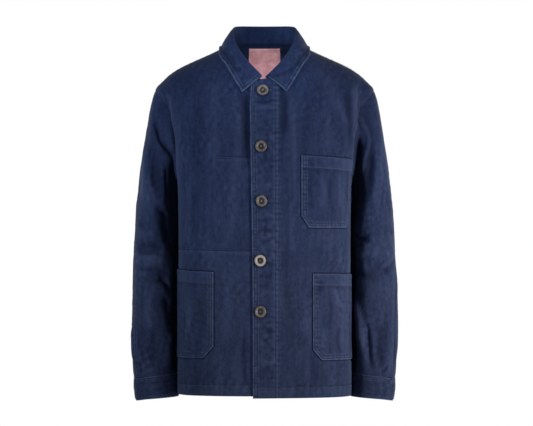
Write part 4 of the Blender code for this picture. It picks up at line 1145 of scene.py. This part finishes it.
def make_sleeves(side):
    shares = refined(191) / 190
    made = []
    for part, steps in (("top", 58), ("under", 50)):
        start, end = seam_angles(shares)
        if part == "under":
            start, end = end, start + math.tau
        across = (refined(steps + 1) / steps)[None]
        angle = start[:, None] * (1 - across) + end[:, None] * across
        points, relief = sleeve_surface(side, np.broadcast_to(shares[:, None], angle.shape), angle)
        cloth = Cloth(f"sleeve_{WORD[side]}_{part}", points, side)
        # Crease crests are painted lighter and troughs darker: painted light and shade, deepest in the hollow
        # beside the body.
        cloth.relief_wear_and_painted_light = relief / 6
        small = crumple(17 + side, angle * ROUND_SLEEVE, points[..., 2], 0.22) * ease(cloth.all_edges() / 6)
        cloth.wrinkle(small * (1 - 0.8 * by_body(angle)), 0.5)
        if part == "top":
            back_seam = cloth.edge("last_col")
            cloth.pucker(back_seam, 0.5, 16, seed=51 + side, period=9, free=0.5)
            cloth.sew_along(back_seam, *TWIN_ROWS)
        made.append(cloth)
    return made


def cuff_surface(side, share, angle):
    back_seam = float(seam_angles(1.0)[1])
    point = section_points(CUFF, side, share, angle)
    away = unit(point - section_centre(CUFF, side, share))
    ramp = ease((angle - back_seam - math.tau) / math.radians(CUFF_LAP_RAMP) + 1)[..., None]
    near = by_body(angle)
    uneven = unevenness(11 + side, angle * ROUND_SLEEVE, point[..., 2], 0.35) * (1 - near)
    uneven = uneven + (1.5 - 0.7 * share) * near
    return point + (away * CUFF_LAP_STEP - np.array([0, 0, CUFF_LAP_DROP])) * ramp + away * uneven[..., None]


def make_cuff(side):
    back_seam = float(seam_angles(1.0)[1])
    angle = back_seam + refined(101) / 100 * (math.tau + math.radians(CUFF_LAP))
    share = refined(19) / 18
    share, angle = np.meshgrid(share, angle, indexing="ij")
    cloth = Cloth(f"cuff_{WORD[side]}", cuff_surface(side, share, angle), side, CUFF_WALL)
    top, bottom, end = cloth.edge("first_row"), cloth.edge("last_row"), cloth.edge("last_col")
    cloth.rows["row_a"] = cloth.distance(top)[0] - CUFF_STITCHES
    cloth.pucker(top, 0.3, 14, seed=61 + side, period=9, free=0.7)
    cloth.pucker(bottom, 0.35, 9, seed=71 + side, period=8)
    small = crumple(9 + side, angle * ROUND_SLEEVE, cloth.points[..., 2], 0.22)
    cloth.wrinkle(small * ease(cloth.all_edges() / 3), 0.55)
    cloth.far = np.minimum(cloth.far, cloth.distance(end)[0])
    cloth.sew_along(top, EDGE_ROW, CUFF_STITCHES)
    cloth.sew_along(bottom, EDGE_ROW)
    cloth.sew_along(end, EDGE_ROW)
    return cloth


# Collar


def neck_points():
    halves = []
    for side in (RIGHT, LEFT):
        front, back = front_neck_line(side, 34), back_neck_line(22)[::-1]
        front = torso_surface(side, front[:, 0], front[:, 1])
        back = torso_surface(side, back[:, 0], back[:, 1])
        halves.append(np.concatenate([front, back[1:]]))
    middle = (halves[0][-1] + halves[1][-1]) / 2
    middle[0] = 0
    return np.concatenate([halves[0][:-1], [middle], halves[1][-2::-1]])


def collar_line(table, share, side):
    shares = column(table, COLLAR_COLUMNS, "share")
    x, y, z = (smooth(shares, column(table, COLLAR_COLUMNS, name), share) for name in COLLAR_COLUMNS[1:])
    return np.stack([side * x, y, z], axis=-1)


def torso_tree():
    points, outs = [], []
    for side in (LEFT, RIGHT):
        height, distance = np.meshgrid(np.arange(-125.0, 3.0, 3.0), np.arange(0.0, 330.0, 3.0), indexing="ij")
        inside = distance < at_height(GIRTH, height)
        points.append(torso_surface(side, distance[inside], height[inside]))
        outs.append(torso_out(side, distance[inside], height[inside]))
    points, outs = np.concatenate(points), np.concatenate(outs)
    tree = KDTree(len(points))
    for number, point in enumerate(points):
        tree.insert(point, number)
    tree.balance()
    return tree, points, outs


def make_collar():
    seam = neck_points()
    half = (len(seam) - 1) // 2
    lengths = lengths_of(seam)
    tree, cloud, outs = torso_tree()
    strips = []
    for number, point in enumerate(seam):
        side = RIGHT if number < half else LEFT
        ends = (lengths[half] - lengths[0]) if side == RIGHT else (lengths[-1] - lengths[half])
        share = abs(lengths[number] - lengths[half]) / ends
        roll, edge = collar_line(COLLAR_ROLL, share, side), collar_line(COLLAR_EDGE, share, side)
        up, fall = unit(roll - point), edge - roll
        away = unit(fall - up * (fall @ up))
        dip = min(COLLAR_ROLL_RADIUS, np.linalg.norm(roll - point) / 2)
        inside = roll - up * dip - away * COLLAR_ROLL_RADIUS
        outside = roll - up * dip + away * COLLAR_ROLL_RADIUS
        strip = [point, (point + inside) / 2, inside, roll, outside]
        for part in (0.25, 0.5, 0.75, 1.0):
            crown = away * COLLAR_FALL_CROWN * math.sin(math.pi * part)
            strip.append(outside + (edge - outside) * part + crown)
        strip = np.array(strip)
        known = lengths_of(strip)
        wanted = np.interp(refined(41), [0, 8, 16, 40], [0, known[2] - 1, known[4] + 1, known[-1]])
        fine = np.stack([smooth(known, values, wanted) for values in strip.T], axis=1)
        for row in range(len(fine)):
            if wanted[row] < known[4]:
                continue
            for _ in range(3):
                near = tree.find(fine[row])[1]
                missing = COLLAR_LIFT - float((fine[row] - cloud[near]) @ outs[near])
                fine[row] = fine[row] + outs[near] * max(0.0, missing)
        strips.append(fine)
    grid = np.array(strips).transpose(1, 0, 2)
    cols = refined(grid.shape[1])
    grid = np.stack([resample(row, cols) for row in grid])
    cloth = Cloth("collar", grid, 1, COLLAR_WALL)
    ends = cloth.edge("first_col")[14:-1], cloth.edge("last_col")[:13:-1]
    border = np.concatenate([ends[0], cloth.edge("last_row")[:-1], ends[1]])
    cloth.pucker(border, 0.3, 13, seed=81, period=10)
    on_fall = ease((np.arange(grid.shape[0])[:, None] - 24) / 4)
    small = crumple(4, cloth.points[..., 0], cloth.points[..., 2], 0.22)
    cloth.wrinkle(small * on_fall * ease(cloth.all_edges() / 4))
    # A band of painted shade along the neck seam, under the collar's roll.
    cloth.relief_wear_and_painted_light = cloth.relief_wear_and_painted_light - 1.2 * ease((9 - cloth.distance(cloth.edge("first_row"))[0]) / 4)
    cloth.sew_along(border, COLLAR_STITCHES)
    return cloth


# Pockets and label


def pocket_grid(pocket):
    near, bottom = pocket["near"], pocket["bottom"]
    width = pocket["far"] - near
    top_low = min(pocket["top_near"], pocket["top_far"])
    rows = round((top_low - bottom) / SPACING)
    cols = round(width / SPACING)
    up, over = np.meshgrid(refined(rows + 1) / rows, refined(cols + 1) / cols, indexing="ij")
    height = bottom + (top_low - bottom) * up
    cut = pocket["cut_across"] * np.maximum(0, 1 - (height - bottom) / pocket["cut_up"])
    top = pocket["top_near"] + (pocket["top_far"] - pocket["top_near"]) * over
    return near + cut + (width - 2 * cut) * over, height + (top - top_low) * up, up, over


def make_pocket(pocket):
    along, height, up, over = pocket_grid(pocket)
    belly = np.sin(math.pi * over) ** 0.7 * ease(up * 1.6)
    lift = WALL / 2 + 1.35 + 1.3 * belly * up**2
    points = torso_surface(pocket["side"], along, height, lift)
    cloth = Cloth(pocket["name"], points, -pocket["side"], POCKET_WALL)
    ends = cloth.edge("first_col")[:0:-1], cloth.edge("last_col")
    border = np.concatenate([ends[0], cloth.edge("first_row")[:-1], ends[1]])
    top = cloth.edge("last_row")
    # Pockets on the wearer's left, the lit side, get bigger puckers and lighter edges: wear and painted
    # light.
    wear_and_painted_light = pocket["side"] == LEFT
    tall, free = (0.6, 1.0) if wear_and_painted_light else (0.2, 0.7)
    cloth.pucker(border, tall, 19, seed=len(pocket["name"]), period=8, free=free)
    fine = creases(POCKET_CREASES, pocket["side"], along, height)
    cloth.wrinkle(fine * ease(cloth.all_edges() / 8), 1.1)
    cloth.wrinkle(crumple(len(pocket["name"]), along, height, 0.2) * ease(cloth.all_edges() / 3), 0.55)
    from_top = cloth.distance(top)[0]
    cloth.rows["row_a"] = from_top - POCKET_HEM
    # The hem band is painted lighter, more toward the pocket's outer end, as wear and painted highlight, with
    # a line of painted shade under it; the top fold is lighter.
    cloth.relief_wear_and_painted_light = cloth.relief_wear_and_painted_light + 0.55 * ease((POCKET_HEM - 1 - from_top) / 3) * (0.5 + 0.5 * over)
    cloth.relief_wear_and_painted_light = cloth.relief_wear_and_painted_light - 0.5 * bell(from_top - POCKET_HEM - 4, 3)
    cloth.relief_wear_and_painted_light = cloth.relief_wear_and_painted_light + 1.3 * bell(from_top, 2.2)
    # Lighter by the sleeve, five times more on the wearer's left, the lit side: wear and painted highlight.
    by_side = ease((along - 157) / 8) * ease((196 - along) / 8)  # rubbed by the sleeve
    cloth.relief_wear_and_painted_light = cloth.relief_wear_and_painted_light + 0.6 * by_side * (1 if wear_and_painted_light else 0.2)
    cloth.sew_along(border, *TWIN_ROWS)
    cloth.sew_along(top, POCKET_HEM)
    return cloth


def make_label():
    heights = np.linspace(LABEL_BOTTOM, LABEL_TOP, 34)
    places = np.linspace(-LABEL_HALF_WIDTH, LABEL_HALF_WIDTH, 34)
    height, across = np.meshgrid(heights, places, indexing="ij")
    dip = -1.6 - 1.0 * bell(height + 62, 9) * (1 + 0.6 * np.sin(across / 6))
    points = torso_surface(LEFT, at_height(GIRTH, height) - across, height, -WALL / 2 + dip)
    return Cloth("neck_label", points, -1, LABEL_WALL)


# Materials


class Nodes:
    """Short ways to make a material's nodes."""

    def __init__(self, name):
        self.material = bpy.data.materials.new(name)
        self.material.use_nodes = True
        self.tree = self.material.node_tree
        self.shader = self.tree.nodes["Principled BSDF"]
        self.position = self.tree.nodes.new("ShaderNodeTexCoord").outputs["Object"]

    def put(self, socket, value):
        """Links the socket to another node's output, or sets its value."""
        if hasattr(value, "links"):
            self.tree.links.new(value, socket)
        else:
            socket.default_value = value

    def node(self, kind, **inputs):
        made = self.tree.nodes.new(kind)
        for key, value in inputs.items():
            self.put(made.inputs[key], value)
        return made

    def noise(self, scale, detail=2.0, stretch=None, rough=0.5):
        source = self.vector("MULTIPLY", self.position, stretch) if stretch else self.position
        made = self.node("ShaderNodeTexNoise", Vector=source, Scale=scale, Detail=detail, Roughness=rough)
        return made.outputs["Fac"]

    def operate(self, kind, operation, values):
        made = self.tree.nodes.new(kind)
        made.operation = operation
        for socket, value in zip(made.inputs, values):
            self.put(socket, value)
        return made.outputs[0]

    def vector(self, operation, *values):
        return self.operate("ShaderNodeVectorMath", operation, values)

    def math(self, operation, *values):
        return self.operate("ShaderNodeMath", operation, values)

    def add(self, total, value, share=None):
        """The total and the value, or a share of the value."""
        return self.math("ADD", total, value if share is None else self.math("MULTIPLY", value, share))

    def spread(self, value, low, high):
        """The value's range from low to high made 0 to 1."""
        made = self.node("ShaderNodeMapRange", Value=value, **{"From Min": low, "From Max": high})
        return made.outputs["Result"]

    def bell(self, value, middle, width):
        """1 at the middle, falling off within the width."""
        away = self.math("DIVIDE", self.math("SUBTRACT", value, middle), width)
        return self.math("EXPONENT", self.math("MULTIPLY", self.math("MULTIPLY", away, away), -1.0))

    def attribute(self, name):
        made = self.tree.nodes.new("ShaderNodeAttribute")
        made.attribute_name = name
        return made.outputs["Fac"]

    def mix(self, factor, first, second, blend="MIX"):
        made = self.tree.nodes.new("ShaderNodeMix")
        made.data_type = "RGBA"
        made.blend_type = blend
        for socket, value in ((0, factor), (6, first), (7, second)):
            self.put(made.inputs[socket], value)
        return made.outputs[2]

    def bump(self, height, strength, distance, after=None):
        made = self.node("ShaderNodeBump", Height=height, Strength=strength, Distance=distance)
        if after is not None:
            self.tree.links.new(after, made.inputs["Normal"])
        return made.outputs["Normal"]

    def finish(self, color, normal, **values):
        self.tree.links.new(color, self.shader.inputs["Base Color"])
        if normal is not None:
            self.tree.links.new(normal, self.shader.inputs["Normal"])
        for key, value in values.items():
            self.shader.inputs[key.replace("_", " ")].default_value = value
        return self.material


# The deepest navy paints shade in grooves and hollows; the palest paints wear and highlights on crests.
NAVY_PAINTED_SHADE = (0.0024, 0.005, 0.017, 1)
NAVY_DARK = (0.0078, 0.0138, 0.0405, 1)
NAVY_LIGHT = (0.0218, 0.0325, 0.0775, 1)
NAVY_WEAR_AND_PAINTED_HIGHLIGHT = (0.056, 0.076, 0.152, 1)
# Painted light and shade by height: darker and bluer at the top of the jacket, lighter and warmer low down.
PAINTED_SHADE_HIGH, PAINTED_LIGHT_LOW = (0.76, 0.86, 1.0, 1), (1.16, 1.08, 1.02, 1)  # by the height on the jacket


def cotton_material(name, stitched_at, slits=()):
    """Navy twill: clouded, with a nap that runs down the cloth, light worn edges, painted light and shade on
    the creases, painted shade in the stitch grooves, round the pockets and in the buttonhole slits, and
    painted shade at the top of the jacket with painted light low down.
    """
    make = Nodes(name)
    cloud = make.spread(make.noise(24.0, 3.0, rough=0.55), 0.34, 0.66)
    streak = make.spread(make.noise(120.0, 3.0, stretch=(1.0, 1.0, 0.14)), 0.36, 0.64)
    mottle = make.spread(make.noise(105.0, 3.0, rough=0.6), 0.36, 0.64)
    nap = make.spread(make.noise(330.0, 2.0, stretch=(1.0, 1.0, 0.55), rough=0.6), 0.36, 0.64)
    fibre = make.noise(1500.0, 2.0)
    tone = make.math("MULTIPLY", cloud, 0.24)
    for part, share in ((streak, 0.3), (mottle, 0.1), (nap, 0.36)):
        tone = make.add(tone, part, share)
    color = make.mix(tone, NAVY_DARK, NAVY_LIGHT)
    place = make.tree.nodes.new("ShaderNodeSeparateXYZ")
    make.tree.links.new(make.position, place.inputs[0])
    # Painted shade towards the top of the jacket and painted light low down.
    painted_light_low_down = make.spread(place.outputs["Z"], -0.05, -0.48)
    color = make.mix(1.0, color, make.mix(painted_light_low_down, PAINTED_SHADE_HIGH, PAINTED_LIGHT_LOW), "MULTIPLY")
    crinkles = make.node("ShaderNodeTexNoise", Vector=make.position, Scale=62.0, Detail=2.0, Distortion=1.4)
    normal = make.bump(crinkles.outputs["Fac"], 0.24, 0.0022)
    weave = make.add(make.math("MULTIPLY", fibre, 0.4), nap, 0.6)
    normal = make.bump(weave, 0.6, 0.0006, normal)
    far = make.attribute("far")
    broken = make.spread(make.noise(130.0, 2.0), 0.35, 0.65)
    relief_wear_and_painted_light = make.attribute("relief_wear_and_painted_light")
    hem = make.attribute("row_a")
    wear_and_painted_light = make.math("MULTIPLY", make.bell(far, 0.6, 1.7), make.add(0.45, broken, 0.5))
    wear_and_painted_light = make.add(wear_and_painted_light, make.bell(hem, -1.7, 1.1), 0.3)
    # Painted shade in the stitch grooves, in a line round each pocket and in the buttonhole slits; the same
    # values bump the grooves in.
    groove_and_painted_shade = make.math("MULTIPLY", make.bell(hem, 0.0, 0.9), 0.7)
    groove_and_painted_shade = make.add(groove_and_painted_shade, make.bell(make.attribute("patch"), 1.1, 1.3), 1.3)
    for key in ("row_b", "row_c"):
        row = make.attribute(key)
        groove_and_painted_shade = make.add(groove_and_painted_shade, make.bell(row, 0.0, 0.9), 0.7)
        wear_and_painted_light = make.add(wear_and_painted_light, make.bell(row, -1.8, 1.0), 0.16)
    for at in stitched_at:
        groove_and_painted_shade = make.add(groove_and_painted_shade, make.bell(far, at, 0.9))
        wear_and_painted_light = make.add(wear_and_painted_light, make.bell(far, at - 1.6, 1.0), make.math("MULTIPLY", broken, 0.3))
        wear_and_painted_light = make.add(wear_and_painted_light, make.bell(far, at + 1.7, 1.1), 0.36)
    wear_and_painted_light = make.math("MULTIPLY", wear_and_painted_light, make.attribute("free"))
    # Crests of the relief painted lighter: wear and painted highlight.
    wear_and_painted_light = make.add(wear_and_painted_light, make.math("MAXIMUM", relief_wear_and_painted_light, 0.0), 0.26)
    color = make.mix(wear_and_painted_light, color, NAVY_WEAR_AND_PAINTED_HIGHLIGHT)
    if slits:
        across = make.bell(place.outputs["X"], 0.004, 0.0085)
        for height in slits:
            groove_and_painted_shade = make.add(groove_and_painted_shade, across, make.bell(place.outputs["Z"], height, 0.0006))
    # The painted shade of the grooves.
    color = make.mix(make.math("MULTIPLY", groove_and_painted_shade, 0.6), color, NAVY_PAINTED_SHADE)
    # Hollows of the relief painted darker: painted shade.
    painted_hollow_shade = make.math("MAXIMUM", make.math("MULTIPLY", relief_wear_and_painted_light, -1.0), 0.0)
    color = make.mix(make.math("MULTIPLY", painted_hollow_shade, 0.5), color, NAVY_PAINTED_SHADE)
    normal = make.bump(groove_and_painted_shade, 0.9, -0.0007, normal)
    return make.finish(
        color, normal, Roughness=0.92, Sheen_Weight=0.03, Sheen_Roughness=0.5, Specular_IOR_Level=0.08
    )


def thread_material(name, dark, light):
    make = Nodes(name)
    color = make.mix(make.noise(400.0), dark, light)
    return make.finish(color, None, Roughness=0.6, Specular_IOR_Level=0.3)


def button_material():
    make = Nodes("brown_button")
    cloud = make.noise(160.0, 4.0)
    color = make.mix(make.spread(cloud, 0.3, 0.7), (0.058, 0.045, 0.038, 1), (0.135, 0.11, 0.096, 1))
    color = make.mix(make.math("MULTIPLY", make.attribute("pale"), 0.5), color, (0.5, 0.43, 0.38, 1))
    # The dished middle is painted almost black: painted shade in the recess.
    dish_painted_shade = make.spread(make.attribute("radius"), 6.9, 5.6)
    color = make.mix(dish_painted_shade, color, (0.008, 0.009, 0.013, 1))
    return make.finish(color, make.bump(cloud, 0.2, 0.0004), Roughness=0.46, Specular_IOR_Level=0.4)


def label_material():
    make = Nodes("pink_label")
    weave = make.noise(900.0, 2.0)
    pucker = make.noise(55.0, 2.0)
    # The pink follows the puckers' height, lighter on their crests and darker between them: painted shade of
    # the puckers.
    color = make.mix(make.spread(pucker, 0.35, 0.65), (0.66, 0.27, 0.29, 1), (0.88, 0.45, 0.47, 1))
    color = make.mix(make.math("MULTIPLY", weave, 0.2), color, (0.55, 0.24, 0.26, 1))
    normal = make.bump(weave, 0.5, 0.0004, make.bump(pucker, 0.8, 0.003))
    return make.finish(color, normal, Roughness=0.6, Sheen_Weight=0.2)


# Buttons

BUTTON_RIM = (
    (0, 0), (9.4, 0), (10.6, 0.5), (11.2, 1.4), (11.3, 2.2), (11.0, 2.9), (10.3, 3.3), (9.3, 3.4),
    (8.0, 3.15), (6.9, 2.7), (6.2, 2.0), (5.4, 1.6), (4.9, 1.5), (2.6, 1.5), (0, 1.5),
)


def make_button(number, across, height, material):
    out = torso_out(LEFT, across, height)
    middle = torso_surface(LEFT, across, height, WALL / 2 + BAND_EXTRA + 0.35)
    steps = 40
    rings = [(radius, up) for radius, up in BUTTON_RIM if radius > 0]
    turn = np.arange(steps) * math.tau / steps
    points = [np.array([[0, 0, BUTTON_RIM[0][1]]])]
    points += [np.stack([r * np.cos(turn), r * np.sin(turn), np.full(steps, up)], axis=1) for r, up in rings]
    points.append(np.array([[0, 0, BUTTON_RIM[-1][1]]]))
    points = np.concatenate(points)
    faces = [[0, 1 + (n + 1) % steps, 1 + n] for n in range(steps)]
    for ring in range(len(rings) - 1):
        low, high = 1 + ring * steps, 1 + (ring + 1) * steps
        faces += [[low + n, low + (n + 1) % steps, high + (n + 1) % steps, high + n] for n in range(steps)]
    last, top = 1 + (len(rings) - 1) * steps, len(points) - 1
    faces += [[last + n, last + (n + 1) % steps, top] for n in range(steps)]
    button = make_mesh(f"button_{number}_horn", points, faces, material)
    cutter_mesh = bpy.data.meshes.new("holes")
    mesh = bmesh.new()
    for spot in range(4):
        turned = math.tau * (spot + 0.5) / 4
        place = Matrix.Translation((2.1 * MM * math.cos(turned), 2.1 * MM * math.sin(turned), 0))
        radius = 0.95 * MM
        bmesh.ops.create_cone(
            mesh, cap_ends=True, segments=12, radius1=radius, radius2=radius, depth=0.014, matrix=place
        )
    mesh.to_mesh(cutter_mesh)
    mesh.free()
    cutter = bpy.data.objects.new("holes", cutter_mesh)
    bpy.context.scene.collection.objects.link(cutter)
    cut = button.modifiers.new("holes", "BOOLEAN")
    cut.object = cutter
    bpy.context.view_layer.update()
    evaluated = button.evaluated_get(bpy.context.evaluated_depsgraph_get())
    data = bpy.data.meshes.new_from_object(evaluated)
    button.modifiers.clear()
    button.data = data
    bpy.data.objects.remove(cutter)
    data.shade_smooth()
    data.set_sharp_from_angle(angle=math.radians(50))
    pose = Vector(out).to_track_quat("Z", "Y").to_matrix().to_4x4()
    pose.translation = Vector(middle) * MM
    places = np.empty(len(data.vertices) * 3)
    data.vertices.foreach_get("co", places)
    places = places.reshape(-1, 3)
    pale = np.full(len(places), float(number == 4))
    for key, values in (("radius", np.hypot(places[:, 0], places[:, 1]) / MM), ("pale", pale)):
        data.attributes.new(key, "FLOAT", "POINT").data.foreach_set("value", values.astype(np.float32))
    data.transform(pose)
    points = []
    for turn in (math.pi / 4, -math.pi / 4):
        along = np.array([math.cos(turn), math.sin(turn), 0])
        across = np.array([-math.sin(turn), math.cos(turn), 0])
        for place, wide, up in ((-2.3, 0.4, 1.2), (-1.3, 0.6, 2.2), (1.3, 0.6, 2.2), (2.3, 0.4, 1.2)):
            for sideways, tall in ((-wide, -0.35), (0, 0.35), (wide, -0.35)):
                points.append(along * place + across * sideways + np.array([0, 0, up + tall]))
    faces = np.concatenate([LENS_FACES, LENS_FACES + LENS_POINTS])
    thread_bars = make_mesh(f"button_{number}_thread", points, faces, button_thread)
    thread_bars.data.transform(pose)
    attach(thread_bars, "root")
    return button


# The pieces

cotton = cotton_material("navy_cotton", TWIN_ROWS)
lapped_cotton = cotton_material("navy_cotton_buttonholes", TWIN_ROWS, [height * MM for _, height in BUTTONS])
cuff_cotton = cotton_material("navy_cotton_cuff", (EDGE_ROW,))
collar_cotton = cotton_material("navy_cotton_collar", (COLLAR_STITCHES,))
thread = thread_material("navy_thread", (0.032, 0.042, 0.09, 1), (0.055, 0.068, 0.135, 1))
button_thread = thread_material("grey_thread", (0.14, 0.15, 0.17, 1), (0.22, 0.23, 0.25, 1))
horn = button_material()
pink = label_material()


def stands_for(piece, node):
    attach(piece, "root")
    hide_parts(node)


def dress(cloth, material, lift=None):
    piece = shell(cloth, material, lift)
    stands_for(piece, cloth.name)
    if cloth.threads:
        extra = BAND_EXTRA if cloth.name == "front_left" else 0
        make_stitches(f"{cloth.name}_stitches", cloth.threads, cloth.wall / 2 + extra, thread)
    return piece


front = {side: make_front(side) for side in (LEFT, RIGHT)}
band = BAND_EXTRA * ease((BAND_WIDTH_IN + BAND_FADE - front[LEFT].places[..., 0]) / BAND_FADE)
dress(front[LEFT], lapped_cotton, band)
dress(front[RIGHT], cotton)
dress(make_back(), cotton)
for side in (LEFT, RIGHT):
    for part in make_sleeves(side):
        dress(part, cotton)
    dress(make_cuff(side), cuff_cotton)
dress(make_collar(), collar_cotton)
for row in POCKETS:
    dress(make_pocket(dict(zip(POCKET_COLUMNS, row))), cotton)
dress(make_label(), pink)
for number, (across, height) in enumerate(BUTTONS, 1):
    stands_for(make_button(number, across, height, horn), f"button_{number}")


# Floor, light and camera

FLOOR_HEIGHT, FLOOR_RADIUS = -960, 1500
WORLD_DIM = 0.22
PHOTO_WIDTH = 533
PIXEL = 0.002  # the size of one, in metres, at the camera's plane


def plain_material(name, color, roughness):
    material = bpy.data.materials.new(name)
    material.use_nodes = True
    shader = material.node_tree.nodes["Principled BSDF"]
    shader.inputs["Base Color"].default_value = (*color, 1)
    shader.inputs["Roughness"].default_value = roughness
    return material


def make_floor():
    steps = 96
    turn = np.arange(steps) * math.tau / steps
    x, y = FLOOR_RADIUS * np.cos(turn), FLOOR_RADIUS * np.sin(turn)
    rim = np.stack([x, y, np.full(steps, FLOOR_HEIGHT)], axis=1)
    faces = [[0, 1 + n, 1 + (n + 1) % steps] for n in range(steps)]
    pale = plain_material("pale_floor", (0.8, 0.8, 0.8), 0.9)
    make_mesh("floor", np.concatenate([[[0, 0, FLOOR_HEIGHT]], rim]), faces, pale)


def area_light(name, place, aim, size, power, spread=180, color=(1, 1, 1)):
    data = bpy.data.lights.new(name, "AREA")
    data.shape = "RECTANGLE"
    data.size, data.size_y = size
    data.energy = power
    data.spread = math.radians(spread)
    data.color = color
    lamp = bpy.data.objects.new(name, data)
    lamp.location = place
    lamp.rotation_euler = (Vector(aim) - Vector(place)).to_track_quat("-Z", "Y").to_euler()
    bpy.context.scene.collection.objects.link(lamp)


def make_world():
    """A white wall behind the jacket and a dim room everywhere else."""
    world = bpy.data.worlds.new("studio")
    world.use_nodes = True
    nodes, links = world.node_tree.nodes, world.node_tree.links
    split = nodes.new("ShaderNodeSeparateXYZ")
    links.new(nodes.new("ShaderNodeTexCoord").outputs["Generated"], split.inputs[0])

    def ramp(value, start, end, low, high):
        made = nodes.new("ShaderNodeMapRange")
        made.interpolation_type = "SMOOTHSTEP"
        links.new(value, made.inputs["Value"])
        for name, size in (("From Min", start), ("From Max", end), ("To Min", low), ("To Max", high)):
            made.inputs[name].default_value = size
        return made.outputs["Result"]

    def both(operation, first, second=None):
        made = nodes.new("ShaderNodeMath")
        made.operation = operation
        for socket, value in zip(made.inputs, (first, second)):
            if value is not None:
                links.new(value, socket)
        return made.outputs[0]

    behind = ramp(split.outputs["Y"], 0.3, 0.85, 0.0, 1.0)
    level = ramp(both("ABSOLUTE", split.outputs["Z"]), 0.1, 0.4, 1.0, 0.0)
    strength = ramp(both("MULTIPLY", behind, level), 0.0, 1.0, WORLD_DIM, 1.0)
    background = nodes["Background"]
    background.inputs["Color"].default_value = (1, 1, 1, 1)
    links.new(strength, background.inputs["Strength"])
    bpy.context.scene.world = world


def make_camera():
    distance = 8.0
    plane = -0.06
    data = bpy.data.cameras.new("camera")
    data.sensor_width = 36
    data.lens = data.sensor_width * distance / (PHOTO_WIDTH * PIXEL)
    data.clip_end = 60
    camera = bpy.data.objects.new("camera", data)
    camera.location = (0.004, plane - distance, -0.338)
    camera.rotation_euler = (math.pi / 2, 0, 0)
    bpy.context.scene.collection.objects.link(camera)
    bpy.context.scene.camera = camera


make_floor()
make_world()
area_light("key", (2.4, -1.45, -0.4), (0.25, 0, -0.42), (0.6, 0.8), 3.7, spread=27, color=(1, 0.965, 0.91))
area_light("fill", (-2.2, -1.85, -0.3), (-0.27, 0, -0.2), (0.9, 0.9), 2.5, spread=26, color=(0.78, 0.92, 1))
area_light("behind_left", (1.6, 2.3, 0.2), (0, 0, -0.36), (0.8, 1.0), 28)
area_light("behind_right", (-1.9, 1.9, -0.1), (0, 0, -0.36), (0.8, 1.0), 20)
area_light("neck", (0.05, -2.3, 0.5), (0, 0.06, -0.04), (0.15, 0.15), 0.097, spread=7, color=(0.85, 0.94, 1))
make_camera()
bpy.context.scene.view_settings.view_transform = "Standard"
